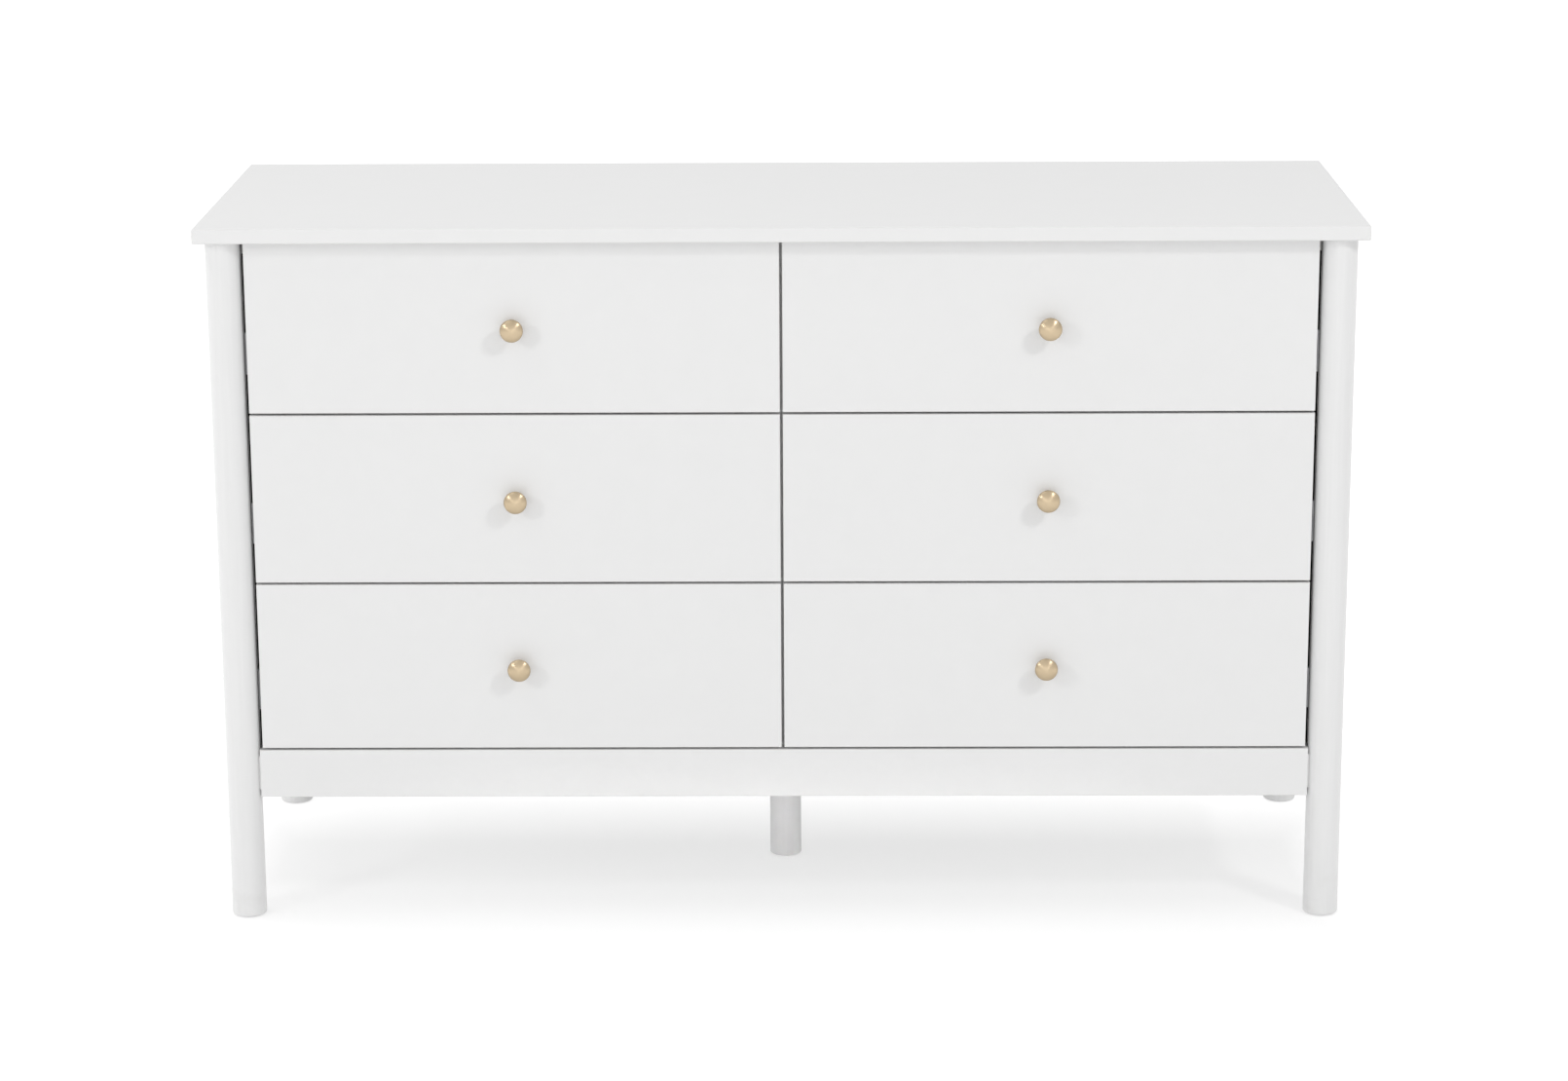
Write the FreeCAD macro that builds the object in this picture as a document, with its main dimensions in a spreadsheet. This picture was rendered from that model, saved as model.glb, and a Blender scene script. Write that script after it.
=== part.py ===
import FreeCAD, Part
import os
import Sketcher

# A wide six-drawer dresser: a board carcass between four round posts, a fifth leg under the
# middle, and two columns of three drawers on full-extension slides.
# Millimetres. X runs along the width, Y from the front (-) to the back (+), Z up.
# The origin lies on the floor under the middle of the whole dresser, knobs included.

os.makedirs("parts", exist_ok=True)
doc = FreeCAD.newDocument("dresser")

# ---------------------------------------------------------------- driving dimensions

SIZES = [
    ("top_width", 1250, "top panel, side to side"),
    ("top_depth", 446, "top panel, front to back"),
    ("total_height", 776, "floor to the upper face of the top"),
    ("top_thickness", 16, "top panel"),
    ("top_round", 1.5, "eased edges of the top panel"),
    ("board", 16, "every other board of the carcass, and the drawer fronts"),
    ("edge_round", 0.8, "eased front edges of drawer fronts and apron"),
    ("side_overhang", 10, "top panel past the legs at each side"),
    ("front_overhang", 8, "top panel past the front legs"),
    ("back_overhang", 0, "top panel past the rear legs, which stand against the wall"),
    ("leg_diameter", 38, "four corner legs"),
    ("centre_leg_diameter", 36, "leg under the middle"),
    ("centre_leg_setback", 230, "top's front edge to the middle leg's axis"),
    ("foot_chamfer", 1, "lower edge of each leg"),
    ("glide_diameter", 24, "nylon glide under each leg"),
    ("glide_thickness", 1.5, "nylon glide"),
    ("nail_diameter", 2.4, "nail of a glide"),
    ("nail_length", 14, "nail of a glide, inside the leg"),
    ("front_setback", 16, "top's front edge to the faces of the drawer fronts"),
    ("apron_clearance", 139, "floor to the lower edge of apron and side panels"),
    ("apron_height", 54, "apron and rear rails"),
    ("row_gap", 2.5, "between one row of fronts and the next, and above the apron"),
    ("top_gap", 1.5, "above the top row of fronts"),
    ("side_gap", 4, "drawer front to leg"),
    ("centre_gap", 3, "between the two columns of fronts"),
    ("bumper_gap", 1.5, "back of a drawer front to the carcass edges"),
    ("end_gap", 0.5, "ends of apron, rails and back panels to the legs"),
    ("panel_seat", 7, "leg's axis to the end of the side panel housed in it"),
    ("tenon_length", 14, "tenons of apron and rear rails"),
    ("tenon_thickness", 8, "tenons of apron and rear rails"),
    ("tenon_shoulder", 8, "above and below each tenon"),
    ("joint_play", 0.1, "clearance round tenons, cams and bolts"),
    ("bottom_rise", 14, "bottom panel above the apron's lower edge"),
    ("front_rail_depth", 60, "flat rail under the front of the top"),
    ("back_seat", 7, "rear leg's axis to the back of the rear rails"),
    ("back_thickness", 3, "back panels"),
    ("back_split", 0.5, "seam between the two back panels"),
    ("cam_diameter", 15, "cam lock"),
    ("cam_height", 12.5, "cam lock"),
    ("cam_setback", 34, "cam's axis to the edge it pulls on"),
    ("cam_inset", 75, "cams of a side panel to its lower and upper edge"),
    ("cam_row_inset", 80, "cams of a horizontal joint to the front and back of the case"),
    ("bolt_diameter", 7, "cam bolt's shank"),
    ("thread_diameter", 5, "cam bolt's thread"),
    ("thread_length", 11, "cam bolt's thread"),
    ("hanger_diameter", 8, "hanger bolt of the middle leg"),
    ("hanger_reach", 12, "hanger bolt inside the bottom panel"),
    ("hanger_depth", 30, "hanger bolt inside the middle leg"),
    ("runner_height", 45, "drawer slide"),
    ("runner_setback", 0.5, "front edge of the partition to the slides"),
    ("runner_width", 12.7, "drawer slide, and so the space beside the drawer box"),
    ("runner_step", 50, "slides are sold in lengths of this step"),
    ("runner_sheet", 1.2, "steel of a slide"),
    ("runner_play", 0.4, "running gap between the members of a slide"),
    ("cabinet_member", 10.2, "fixed member, across"),
    ("cabinet_lip", 5, "turned-in lip of the fixed member"),
    ("middle_lip", 5, "turned-in lip of the middle member"),
    ("runner_axis", 62, "drawer front's lower edge to the slide's axis"),
    ("box_rise", 15, "drawer front's lower edge to the drawer box"),
    ("box_drop", 26, "drawer box to the drawer front's upper edge"),
    ("box_side", 12, "sides and back of the drawer box"),
    ("dado_depth", 6, "housings in drawer fronts and sides"),
    ("tray_thickness", 4, "bottom of a drawer"),
    ("tray_play", 0.2, "groove over the bottom of a drawer"),
    ("tray_rise", 10, "drawer box's lower edge to its bottom"),
    ("back_inset", 10, "end of the drawer sides to the drawer back"),
    ("knob_diameter", 25, "knob's head"),
    ("knob_projection", 22, "knob, from the face of the drawer front"),
    ("knob_dome", 3.6, "rise of the domed face"),
    ("knob_rim", 3.6, "straight rim of the head before it is rounded"),
    ("knob_rim_round", 1.6, "rounding of the rim"),
    ("knob_under", 2.6, "slope of the head's underside"),
    ("knob_neck", 9, "neck's diameter"),
    ("knob_foot", 14, "foot's diameter"),
    ("knob_foot_thickness", 2, "foot"),
    ("screw_diameter", 3.8, "knob screw"),
    ("screw_reach", 11, "knob screw inside the knob"),
    ("screw_head", 8, "knob screw's head, diameter"),
    ("screw_head_height", 2.2, "knob screw's head"),
    ("screw_hole", 5, "hole in the drawer front"),
    ("plate_spacing", 800, "between the two tip-restraint plates"),
    ("plate_width", 30, "tip-restraint plate"),
    ("plate_height", 44, "tip-restraint plate"),
    ("plate_sheet", 2, "steel of the plate"),
    ("plate_hole_inset", 10, "plate's upper and lower edge to its two holes"),
    ("strap_hole", 5, "free hole for the strap's bolt, through plate, back panel and rail"),
    ("plate_screw", 4, "screw that holds the plate"),
    ("plate_screw_length", 16, "that screw, below the plate"),
    ("plate_head", 7.5, "its head, diameter"),
    ("plate_head_height", 2.4, "its head"),
]

ROWS = ["bottom", "middle", "top"]
SIDES = [("left", -1), ("right", 1)]

sheet = doc.addObject("Spreadsheet::Sheet", "Sizes")
for line, (alias, value, note) in enumerate(SIZES, start=1):
    sheet.set(f"A{line}", note)
    sheet.set(f"B{line}", str(value))
    sheet.setAlias(f"B{line}", alias)

# ---------------------------------------------------------------- places worked out from them

PLACES = [
    ("front_edge", "-(Sizes.top_depth - Sizes.knob_projection + Sizes.front_setback) / 2"),
    ("top_underside", "Sizes.total_height - Sizes.top_thickness"),
    ("leg_radius", "Sizes.leg_diameter / 2"),
    ("leg_length", "top_underside - Sizes.glide_thickness"),
    ("leg_x", "Sizes.top_width / 2 - Sizes.side_overhang - leg_radius"),
    ("inner_x", "leg_x - leg_radius"),
    ("front_leg_y", "front_edge + Sizes.front_overhang + leg_radius"),
    ("rear_leg_y", "front_edge + Sizes.top_depth - Sizes.back_overhang - leg_radius"),
    ("centre_leg_y", "front_edge + Sizes.centre_leg_setback"),
    ("face_y", "front_edge + Sizes.front_setback"),
    ("face_back_y", "face_y + Sizes.board"),
    ("case_front_y", "face_back_y + Sizes.bumper_gap"),
    ("rail_back_y", "rear_leg_y + Sizes.back_seat"),
    ("rail_front_y", "rail_back_y - Sizes.board"),
    ("back_rear_y", "rail_back_y + Sizes.back_thickness"),
    ("panel_front_y", "front_leg_y + Sizes.panel_seat"),
    ("panel_depth", "rear_leg_y - Sizes.panel_seat - panel_front_y"),
    ("panel_height", "top_underside - Sizes.apron_clearance"),
    ("apron_top", "Sizes.apron_clearance + Sizes.apron_height"),
    ("bottom_z", "Sizes.apron_clearance + Sizes.bottom_rise"),
    ("bottom_top", "bottom_z + Sizes.board"),
    ("bottom_centre", "bottom_z + Sizes.board / 2"),
    ("partition_depth", "rail_back_y - case_front_y"),
    ("partition_height", "top_underside - bottom_top"),
    ("rail_end", "inner_x - Sizes.end_gap"),
    ("tenon_end", "inner_x + Sizes.tenon_length"),
    ("tenon_inset", "(Sizes.board - Sizes.tenon_thickness) / 2"),
    ("upper_rail_z", "top_underside - Sizes.apron_height"),
    ("cam_front_y", "case_front_y + Sizes.cam_row_inset"),
    ("cam_rear_y", "rail_front_y - Sizes.cam_row_inset"),
    ("cam_low_z", "Sizes.apron_clearance + Sizes.cam_inset"),
    ("cam_high_z", "top_underside - Sizes.cam_inset"),
    ("cam_top_z", "top_underside - Sizes.cam_setback"),
    ("cam_foot_z", "bottom_top + Sizes.cam_setback"),
    ("centre_leg_length", "bottom_z - Sizes.glide_thickness"),
    ("front_height", "(top_underside - Sizes.top_gap - apron_top - 3 * Sizes.row_gap) / 3"),
    ("row_pitch", "front_height + Sizes.row_gap"),
    ("first_row_z", "apron_top + Sizes.row_gap"),
    ("front_inner_x", "Sizes.centre_gap / 2"),
    ("front_outer_x", "inner_x - Sizes.side_gap"),
    ("knob_x", "(front_inner_x + front_outer_x) / 2"),
    ("knob_z", "front_height / 2"),
    ("box_inner_x", "Sizes.board / 2 + Sizes.runner_width"),
    ("box_outer_x", "inner_x - Sizes.runner_width"),
    ("box_height", "front_height - Sizes.box_rise - Sizes.box_drop"),
    ("tray_z", "Sizes.box_rise + Sizes.tray_rise"),
    ("tray_top", "tray_z + Sizes.tray_thickness"),
    ("runner_front_y", "case_front_y + Sizes.runner_setback"),
    ("runner_room", "rail_front_y - runner_front_y - Sizes.bumper_gap"),
    ("runner_length", "floor(runner_room / Sizes.runner_step) * Sizes.runner_step"),
    ("box_length", "runner_front_y - face_back_y + runner_length"),
    ("drawer_back_y", "Sizes.board + box_length - Sizes.back_inset - Sizes.box_side"),
    ("plate_z", "upper_rail_z + (Sizes.apron_height - Sizes.plate_height) / 2"),
    ("plate_screw_z", "plate_z + Sizes.plate_hole_inset"),
    ("strap_z", "plate_z + Sizes.plate_height - Sizes.plate_hole_inset"),
]

layout = doc.addObject("App::VarSet", "Layout")
for name, rule in PLACES:
    layout.addProperty("App::PropertyFloat", name, "Places")
    layout.setExpression(name, rule)
doc.recompute()

# ---------------------------------------------------------------- how the pieces are drawn

pieces = []


def new_body(name, x="0", y="0", z="0"):
    """Start a sub-part whose own origin stands at the given place."""
    body = doc.addObject("PartDesign::Body", name)
    body.AllowCompound = True
    for axis, place in zip("xyz", (x, y, z)):
        body.setExpression(f"Placement.Base.{axis}", place)
    pieces.append(body)
    return body


def origin_feature(body, role):
    return next(item for item in body.Origin.OriginFeatures if item.Role == role)


def sketch_on(body, plane, level="0"):
    """Empty sketch on an origin plane of the body, moved to the level along X, Y or Z."""
    sketch = body.newObject("Sketcher::SketchObject", "Sketch")
    sketch.AttachmentSupport = (origin_feature(body, plane), [""])
    sketch.MapMode = "FlatFace"
    along_normal = f"-({level})" if plane == "XZ_Plane" else level
    sketch.setExpression("AttachmentOffset.Base.z", along_normal)
    return sketch


def value_of(sketch, text):
    return float(sketch.evalExpression(text))


def pin(sketch, curve, point, place):
    """Hold one point of a curve at its place, measured across and up from the origin."""
    for kind, text in zip(("DistanceX", "DistanceY"), place):
        rule = Sketcher.Constraint(kind, -1, 1, curve, point, value_of(sketch, text))
        index = sketch.addConstraint(rule)
        sketch.setExpression(f"Constraints[{index}]", text)


def outline(sketch, corners):
    """Closed straight-sided outline through the corners."""
    spots = [FreeCAD.Vector(value_of(sketch, a), value_of(sketch, b), 0) for a, b in corners]
    first = sketch.GeometryCount
    for i, spot in enumerate(spots):
        sketch.addGeometry(Part.LineSegment(spot, spots[(i + 1) % len(spots)]))
    for i, corner in enumerate(corners):
        following = first + (i + 1) % len(corners)
        sketch.addConstraint(Sketcher.Constraint("Coincident", first + i, 2, following, 1))
        pin(sketch, first + i, 1, corner)


def rectangle(sketch, x0, x1, z0, z1):
    outline(sketch, [(x0, z0), (x1, z0), (x1, z1), (x0, z1)])


def circles(sketch, centres, diameter):
    size = value_of(sketch, diameter)
    for centre in centres:
        middle = FreeCAD.Vector(value_of(sketch, centre[0]), value_of(sketch, centre[1]), 0)
        index = sketch.addGeometry(Part.Circle(middle, FreeCAD.Vector(0, 0, 1), size / 2))
        pin(sketch, index, 3, centre)
        rule = sketch.addConstraint(Sketcher.Constraint("Diameter", index, size))
        sketch.setExpression(f"Constraints[{rule}]", diameter)


# A pad grows towards +X, +Y or +Z, or towards the minus side. A pocket cuts the same way.
# The XZ plane's own normal points to -Y, so its directions are turned round.

def pad(body, sketch, length, towards="+"):
    feature = body.newObject("PartDesign::Pad", "Pad")
    feature.Profile = sketch
    feature.Reversed = (towards == "-") != (sketch.AttachmentSupport[0][0].Role == "XZ_Plane")
    feature.setExpression("Length", length)
    return feature


def pocket(body, sketch, length, towards="-"):
    feature = body.newObject("PartDesign::Pocket", "Pocket")
    feature.Profile = sketch
    feature.Reversed = (towards == "+") != (sketch.AttachmentSupport[0][0].Role == "XZ_Plane")
    feature.setExpression("Length", length)
    return feature


def drill(body, plane, level, centres, diameter, depth, towards):
    """Round holes that start on a plane at the level and run towards + or -."""
    sketch = sketch_on(body, plane, level)
    circles(sketch, centres, diameter)
    return pocket(body, sketch, depth, towards)


def ease(body, base, radius, wanted, kind="Fillet"):
    """Round or chamfer the edges of the feature that are wanted."""
    doc.recompute()
    chosen = [f"Edge{i}" for i, edge in enumerate(base.Shape.Edges, start=1) if wanted(edge)]
    feature = body.newObject(f"PartDesign::{kind}", kind)
    feature.Base = (base, chosen)
    feature.setExpression("Radius" if kind == "Fillet" else "Size", radius)
    return feature


def lies_at(edge, axis, level):
    """True where the whole edge has the same coordinate."""
    box = edge.BoundBox
    low, high = getattr(box, f"{axis}Min"), getattr(box, f"{axis}Max")
    return abs(low - level) < 1e-4 and abs(high - level) < 1e-4


def signed(sign, text):
    return text if sign > 0 else f"-({text})"


def other_way(sign):
    return "-" if sign > 0 else "+"


def this_way(sign):
    return "+" if sign > 0 else "-"


# ---------------------------------------------------------------- bores for cams and their bolts

CAM_HOLE = "Sizes.cam_diameter + 2 * Sizes.joint_play"
SHANK_HOLE = "Sizes.bolt_diameter + 2 * Sizes.joint_play"
THREAD_HOLE = "Sizes.thread_diameter + 2 * Sizes.joint_play"
THREAD_DEPTH = "Sizes.thread_length + Sizes.joint_play"
CAM_DEPTH = "Sizes.cam_height + Sizes.joint_play"
HALF_BOARD = "Sizes.board / 2"

# ---------------------------------------------------------------- top panel


def top_panel():
    """Board with every edge eased, bored from below for the cam bolts and the rail screws."""
    body = new_body("top_panel", y="Layout.front_edge", z="Layout.top_underside")
    sketch = sketch_on(body, "XY_Plane")
    rectangle(sketch, "-Sizes.top_width / 2", "Sizes.top_width / 2", "0", "Sizes.top_depth")
    board = pad(body, sketch, "Sizes.top_thickness")
    ease(body, board, "Sizes.top_round", lambda edge: True)
    across = [signed(sign, f"Layout.inner_x + {HALF_BOARD}") for name, sign in SIDES] + ["0"]
    along = ["Layout.cam_front_y - Layout.front_edge", "Layout.cam_rear_y - Layout.front_edge"]
    centres = [(x, y) for x in across for y in along]
    drill(body, "XY_Plane", "0", centres, THREAD_HOLE, THREAD_DEPTH, "+")


# ---------------------------------------------------------------- legs


def turned_post(body, diameter, length):
    """Round post with a chamfered foot and a hole for its glide's nail."""
    sketch = sketch_on(body, "XY_Plane")
    circles(sketch, [("0", "0")], diameter)
    post = pad(body, sketch, length)
    ease(body, post, "Sizes.foot_chamfer", lambda edge: lies_at(edge, "Z", 0), "Chamfer")
    nail_hole = "Sizes.nail_diameter + 2 * Sizes.joint_play"
    drill(body, "XY_Plane", "0", [("0", "0")], nail_hole, "Sizes.nail_length + 1", "+")


def corner_leg(name, sign, end, rails):
    """Corner post. The side panel is housed in a rebate down its inner quarter and pulled in by
    two cam bolts; apron or rear rails enter as tenons. end is +1 at the front, -1 at the back."""
    leg_y = "Layout.front_leg_y" if end > 0 else "Layout.rear_leg_y"
    body = new_body(name, signed(sign, "Layout.leg_x"), leg_y, "Sizes.glide_thickness")
    turned_post(body, "Sizes.leg_diameter", "Layout.leg_length")
    past_side = "Layout.leg_radius + 1"
    rebate = sketch_on(body, "XY_Plane", "Layout.leg_length")
    rectangle(rebate, signed(-sign, past_side), signed(-sign, "Layout.leg_radius - Sizes.board"),
              signed(end, "Sizes.panel_seat"), signed(end, past_side))
    pocket(body, rebate, "Layout.panel_height")
    rail_front = "Layout.face_y" if end > 0 else "Layout.rail_front_y"
    tenon_front = f"{rail_front} + Layout.tenon_inset - {leg_y}"
    mortise = sketch_on(body, "YZ_Plane", signed(-sign, past_side))
    for rail_z in rails:
        lower = f"{rail_z} - Sizes.glide_thickness + Sizes.tenon_shoulder"
        upper = f"{lower} + Sizes.apron_height - 2 * Sizes.tenon_shoulder"
        rectangle(mortise, f"{tenon_front} - Sizes.joint_play",
                  f"{tenon_front} + Sizes.tenon_thickness + Sizes.joint_play",
                  f"{lower} - Sizes.joint_play", f"{upper} + Sizes.joint_play")
    depth = "Sizes.tenon_length + Sizes.joint_play + 1"
    pocket(body, mortise, depth, this_way(sign))
    across = signed(-sign, f"Layout.leg_radius - {HALF_BOARD}")
    levels = ["Layout.cam_low_z", "Layout.cam_high_z"]
    centres = [(across, f"{level} - Sizes.glide_thickness") for level in levels]
    drill(body, "XZ_Plane", signed(end, "Sizes.panel_seat"), centres, THREAD_HOLE,
          THREAD_DEPTH, other_way(end))


def centre_leg():
    """Short post under the bottom panel, held by a hanger bolt in its upper end."""
    body = new_body("centre_leg", "0", "Layout.centre_leg_y", "Sizes.glide_thickness")
    turned_post(body, "Sizes.centre_leg_diameter", "Layout.centre_leg_length")
    hole = "Sizes.hanger_diameter + 2 * Sizes.joint_play"
    drill(body, "XY_Plane", "Layout.centre_leg_length", [("0", "0")], hole,
          "Sizes.hanger_depth + Sizes.joint_play", "-")


def foot_glides():
    """A nylon disc with its nail under each of the five legs."""
    body = new_body("foot_glides")
    centres = [("0", "Layout.centre_leg_y")]
    for name, sign in SIDES:
        for leg_y in ("Layout.front_leg_y", "Layout.rear_leg_y"):
            centres.append((signed(sign, "Layout.leg_x"), leg_y))
    discs = sketch_on(body, "XY_Plane")
    circles(discs, centres, "Sizes.glide_diameter")
    pad(body, discs, "Sizes.glide_thickness")
    nails = sketch_on(body, "XY_Plane")
    circles(nails, centres, "Sizes.nail_diameter")
    pad(body, nails, "Sizes.glide_thickness + Sizes.nail_length")


# ---------------------------------------------------------------- carcass boards


def side_panel(name, sign):
    """Board between a front and a rear leg, with cam bores on its inner face."""
    body = new_body(name, signed(sign, "Layout.inner_x"), "Layout.panel_front_y",
                    "Sizes.apron_clearance")
    sketch = sketch_on(body, "YZ_Plane")
    rectangle(sketch, "0", "Layout.panel_depth", "0", "Layout.panel_height")
    pad(body, sketch, "Sizes.board", this_way(sign))
    low = "Layout.cam_low_z - Sizes.apron_clearance"
    high = "Layout.cam_high_z - Sizes.apron_clearance"
    top = "Layout.cam_top_z - Sizes.apron_clearance"
    rows = ["Layout.cam_front_y - Layout.panel_front_y", "Layout.cam_rear_y - Layout.panel_front_y"]
    ends = ["Sizes.cam_setback", "Layout.panel_depth - Sizes.cam_setback"]
    cams = [(y, z) for y in ends for z in (low, high)] + [(y, top) for y in rows]
    drill(body, "YZ_Plane", "0", cams, CAM_HOLE, CAM_DEPTH, this_way(sign))
    middle = signed(sign, HALF_BOARD)
    edge = [(middle, low), (middle, high)]
    drill(body, "XZ_Plane", "0", edge, SHANK_HOLE, "Sizes.cam_setback", "+")
    drill(body, "XZ_Plane", "Layout.panel_depth", edge, SHANK_HOLE, "Sizes.cam_setback", "-")
    drill(body, "XY_Plane", "Layout.panel_height", [(middle, y) for y in rows], SHANK_HOLE,
          "Sizes.cam_setback", "-")
    shelf = [(y, "Layout.bottom_centre - Sizes.apron_clearance") for y in rows]
    drill(body, "YZ_Plane", "0", shelf, THREAD_HOLE, THREAD_DEPTH, this_way(sign))


def centre_partition():
    """Upright board between the columns, notched round the flat front rail and the rear rails."""
    body = new_body("centre_partition", f"-{HALF_BOARD}", "Layout.case_front_y",
                    "Layout.bottom_top")
    sketch = sketch_on(body, "YZ_Plane")
    deep = "Layout.partition_depth"
    tall = "Layout.partition_height"
    rail_line = f"{deep} - Sizes.board"
    lower = "Layout.apron_top - Layout.bottom_top"
    upper = f"{tall} - Sizes.apron_height"
    outline(sketch, [
        ("0", "0"), (rail_line, "0"), (rail_line, lower), (deep, lower),
        (deep, upper), (rail_line, upper), (rail_line, tall),
        ("Sizes.front_rail_depth", tall), ("Sizes.front_rail_depth", f"{tall} - Sizes.board"),
        ("0", f"{tall} - Sizes.board"),
    ])
    pad(body, sketch, "Sizes.board")
    rows = ["Layout.cam_front_y - Layout.case_front_y", "Layout.cam_rear_y - Layout.case_front_y"]
    levels = [f"{tall} - Sizes.cam_setback", "Sizes.cam_setback"]
    cams = [(y, z) for y in rows for z in levels]
    drill(body, "YZ_Plane", "Sizes.board", cams, CAM_HOLE, CAM_DEPTH, "-")
    edge = [(HALF_BOARD, y) for y in rows]
    drill(body, "XY_Plane", tall, edge, SHANK_HOLE, "Sizes.cam_setback", "-")
    drill(body, "XY_Plane", "0", edge, SHANK_HOLE, "Sizes.cam_setback", "+")


def bottom_panel():
    """Board under the lowest drawers, between the side panels, apron and rear rail."""
    body = new_body("bottom_panel", "0", "Layout.face_back_y", "Layout.bottom_z")
    sketch = sketch_on(body, "XY_Plane")
    deep = "Layout.rail_front_y - Layout.face_back_y"
    rectangle(sketch, "-Layout.inner_x", "Layout.inner_x", "0", deep)
    pad(body, sketch, "Sizes.board")
    rows = ["Layout.cam_front_y - Layout.face_back_y", "Layout.cam_rear_y - Layout.face_back_y"]
    for name, sign in SIDES:
        across = signed(sign, "Layout.inner_x - Sizes.cam_setback")
        drill(body, "XY_Plane", "0", [(across, y) for y in rows], CAM_HOLE, CAM_DEPTH, "+")
        edge = [(y, HALF_BOARD) for y in rows]
        drill(body, "YZ_Plane", signed(sign, "Layout.inner_x"), edge, SHANK_HOLE,
              "Sizes.cam_setback", other_way(sign))
    drill(body, "XY_Plane", "Sizes.board", [("0", y) for y in rows], THREAD_HOLE,
          THREAD_DEPTH, "-")
    drill(body, "XY_Plane", "0", [("0", "Layout.centre_leg_y - Layout.face_back_y")],
          "Sizes.hanger_diameter + 2 * Sizes.joint_play",
          "Sizes.hanger_reach + Sizes.joint_play", "+")


def front_top_rail():
    """Flat rail that ties the side panels together under the front of the top."""
    body = new_body("front_top_rail", "0", "Layout.case_front_y",
                    "Layout.top_underside - Sizes.board")
    sketch = sketch_on(body, "XY_Plane")
    rectangle(sketch, "-Layout.inner_x", "Layout.inner_x", "0", "Sizes.front_rail_depth")
    pad(body, sketch, "Sizes.board")


def tenoned_boards(name, y, levels, rounded):
    """Boards between two legs, one above the other, with a stub tenon at each end."""
    body = new_body(name, "0", y, "0")
    boards = sketch_on(body, "XZ_Plane")
    for level in levels:
        rectangle(boards, "-Layout.rail_end", "Layout.rail_end",
                  level, f"{level} + Sizes.apron_height")
    blank = pad(body, boards, "Sizes.board")
    if rounded:
        ease(body, blank, "Sizes.edge_round", lambda edge: lies_at(edge, "Y", 0))
    tenons = sketch_on(body, "XZ_Plane", "Layout.tenon_inset")
    for level in levels:
        rectangle(tenons, "-Layout.tenon_end", "Layout.tenon_end",
                  f"{level} + Sizes.tenon_shoulder",
                  f"{level} + Sizes.apron_height - Sizes.tenon_shoulder")
    pad(body, tenons, "Sizes.tenon_thickness")
    return body


def back_panels():
    """Two thin sheets pinned to the rear rails, meeting on the partition's edge."""
    body = new_body("back_panels", "0", "Layout.rail_back_y", "Sizes.apron_clearance")
    sketch = sketch_on(body, "XZ_Plane")
    for name, sign in SIDES:
        rectangle(sketch, signed(sign, "Sizes.back_split / 2"), signed(sign, "Layout.rail_end"),
                  "0", "Layout.panel_height - Sizes.end_gap")
    pad(body, sketch, "Sizes.back_thickness")
    drill_for_plates(body, "0", "Sizes.back_thickness", "+", "Sizes.apron_clearance")


# ---------------------------------------------------------------- tip-restraint plates

PLATE_SCREW_HOLE = "Sizes.plate_screw + 2 * Sizes.joint_play"
PLATE_SCREW_DEPTH = "Sizes.plate_screw_length - Sizes.back_thickness + Sizes.joint_play"


def plate_points(height, level="0"):
    """One point on each plate, across and up from the level."""
    across = "Sizes.plate_spacing / 2"
    return [(signed(sign, across), f"{height} - {level}") for name, sign in SIDES]


def drill_for_plates(body, plane_y, depth, towards, level="0", screw_depth=None):
    """Holes for the plates' screws and for the strap's bolts, through one layer."""
    drill(body, "XZ_Plane", plane_y, plate_points("Layout.plate_screw_z", level),
          PLATE_SCREW_HOLE, screw_depth or depth, towards)
    drill(body, "XZ_Plane", plane_y, plate_points("Layout.strap_z", level),
          "Sizes.strap_hole", depth, towards)


def tip_restraint_plates():
    """Steel plates on the upper rear rail, over the back panels. A strap to the wall is bolted
    through the upper hole of each."""
    body = new_body("tip_restraint_plates", "0", "Layout.back_rear_y", "0")
    sketch = sketch_on(body, "XZ_Plane")
    for name, sign in SIDES:
        rectangle(sketch, signed(sign, "Sizes.plate_spacing / 2 - Sizes.plate_width / 2"),
                  signed(sign, "Sizes.plate_spacing / 2 + Sizes.plate_width / 2"),
                  "Layout.plate_z", "Layout.plate_z + Sizes.plate_height")
    pad(body, sketch, "Sizes.plate_sheet")
    drill_for_plates(body, "0", "Sizes.plate_sheet", "+")


# ---------------------------------------------------------------- slides
# Each slide is three nested sections of folded steel. A section is drawn in its own terms:
# in is the distance from the cabinet's wall towards the drawer, up is from the slide's axis.


def folded(wall, towards, corners):
    """Place a section against a wall: its depth runs along X towards + or -."""
    return [(f"{wall} {towards} ({depth})", up) for depth, up in corners]


def lipped_channel(back, half_height, front, lip):
    """C-shaped section that opens towards the drawer, with lips turned in at its mouth."""
    skin = "Sizes.runner_sheet"
    inner = f"({half_height}) - {skin}"
    mouth = f"({half_height}) - {lip}"
    return [
        (back, f"-({half_height})"), (front, f"-({half_height})"), (front, f"-({mouth})"),
        (f"{front} - {skin}", f"-({mouth})"), (f"{front} - {skin}", f"-({inner})"),
        (f"{back} + {skin}", f"-({inner})"), (f"{back} + {skin}", inner),
        (f"{front} - {skin}", inner), (f"{front} - {skin}", mouth),
        (front, mouth), (front, half_height), (back, half_height),
    ]


STEP_IN = "Sizes.runner_sheet + Sizes.runner_play"
CABINET_HALF = "Sizes.runner_height / 2"
MIDDLE_HALF = f"{CABINET_HALF} - {STEP_IN.replace(' + ', ' - ')}"
BRIM_HALF = f"{MIDDLE_HALF} - {STEP_IN.replace(' + ', ' - ')}"
HAT_HALF = f"{MIDDLE_HALF} - Sizes.middle_lip - Sizes.runner_play"
MIDDLE_FRONT = "Sizes.cabinet_member - Sizes.runner_sheet - Sizes.runner_play"


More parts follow.
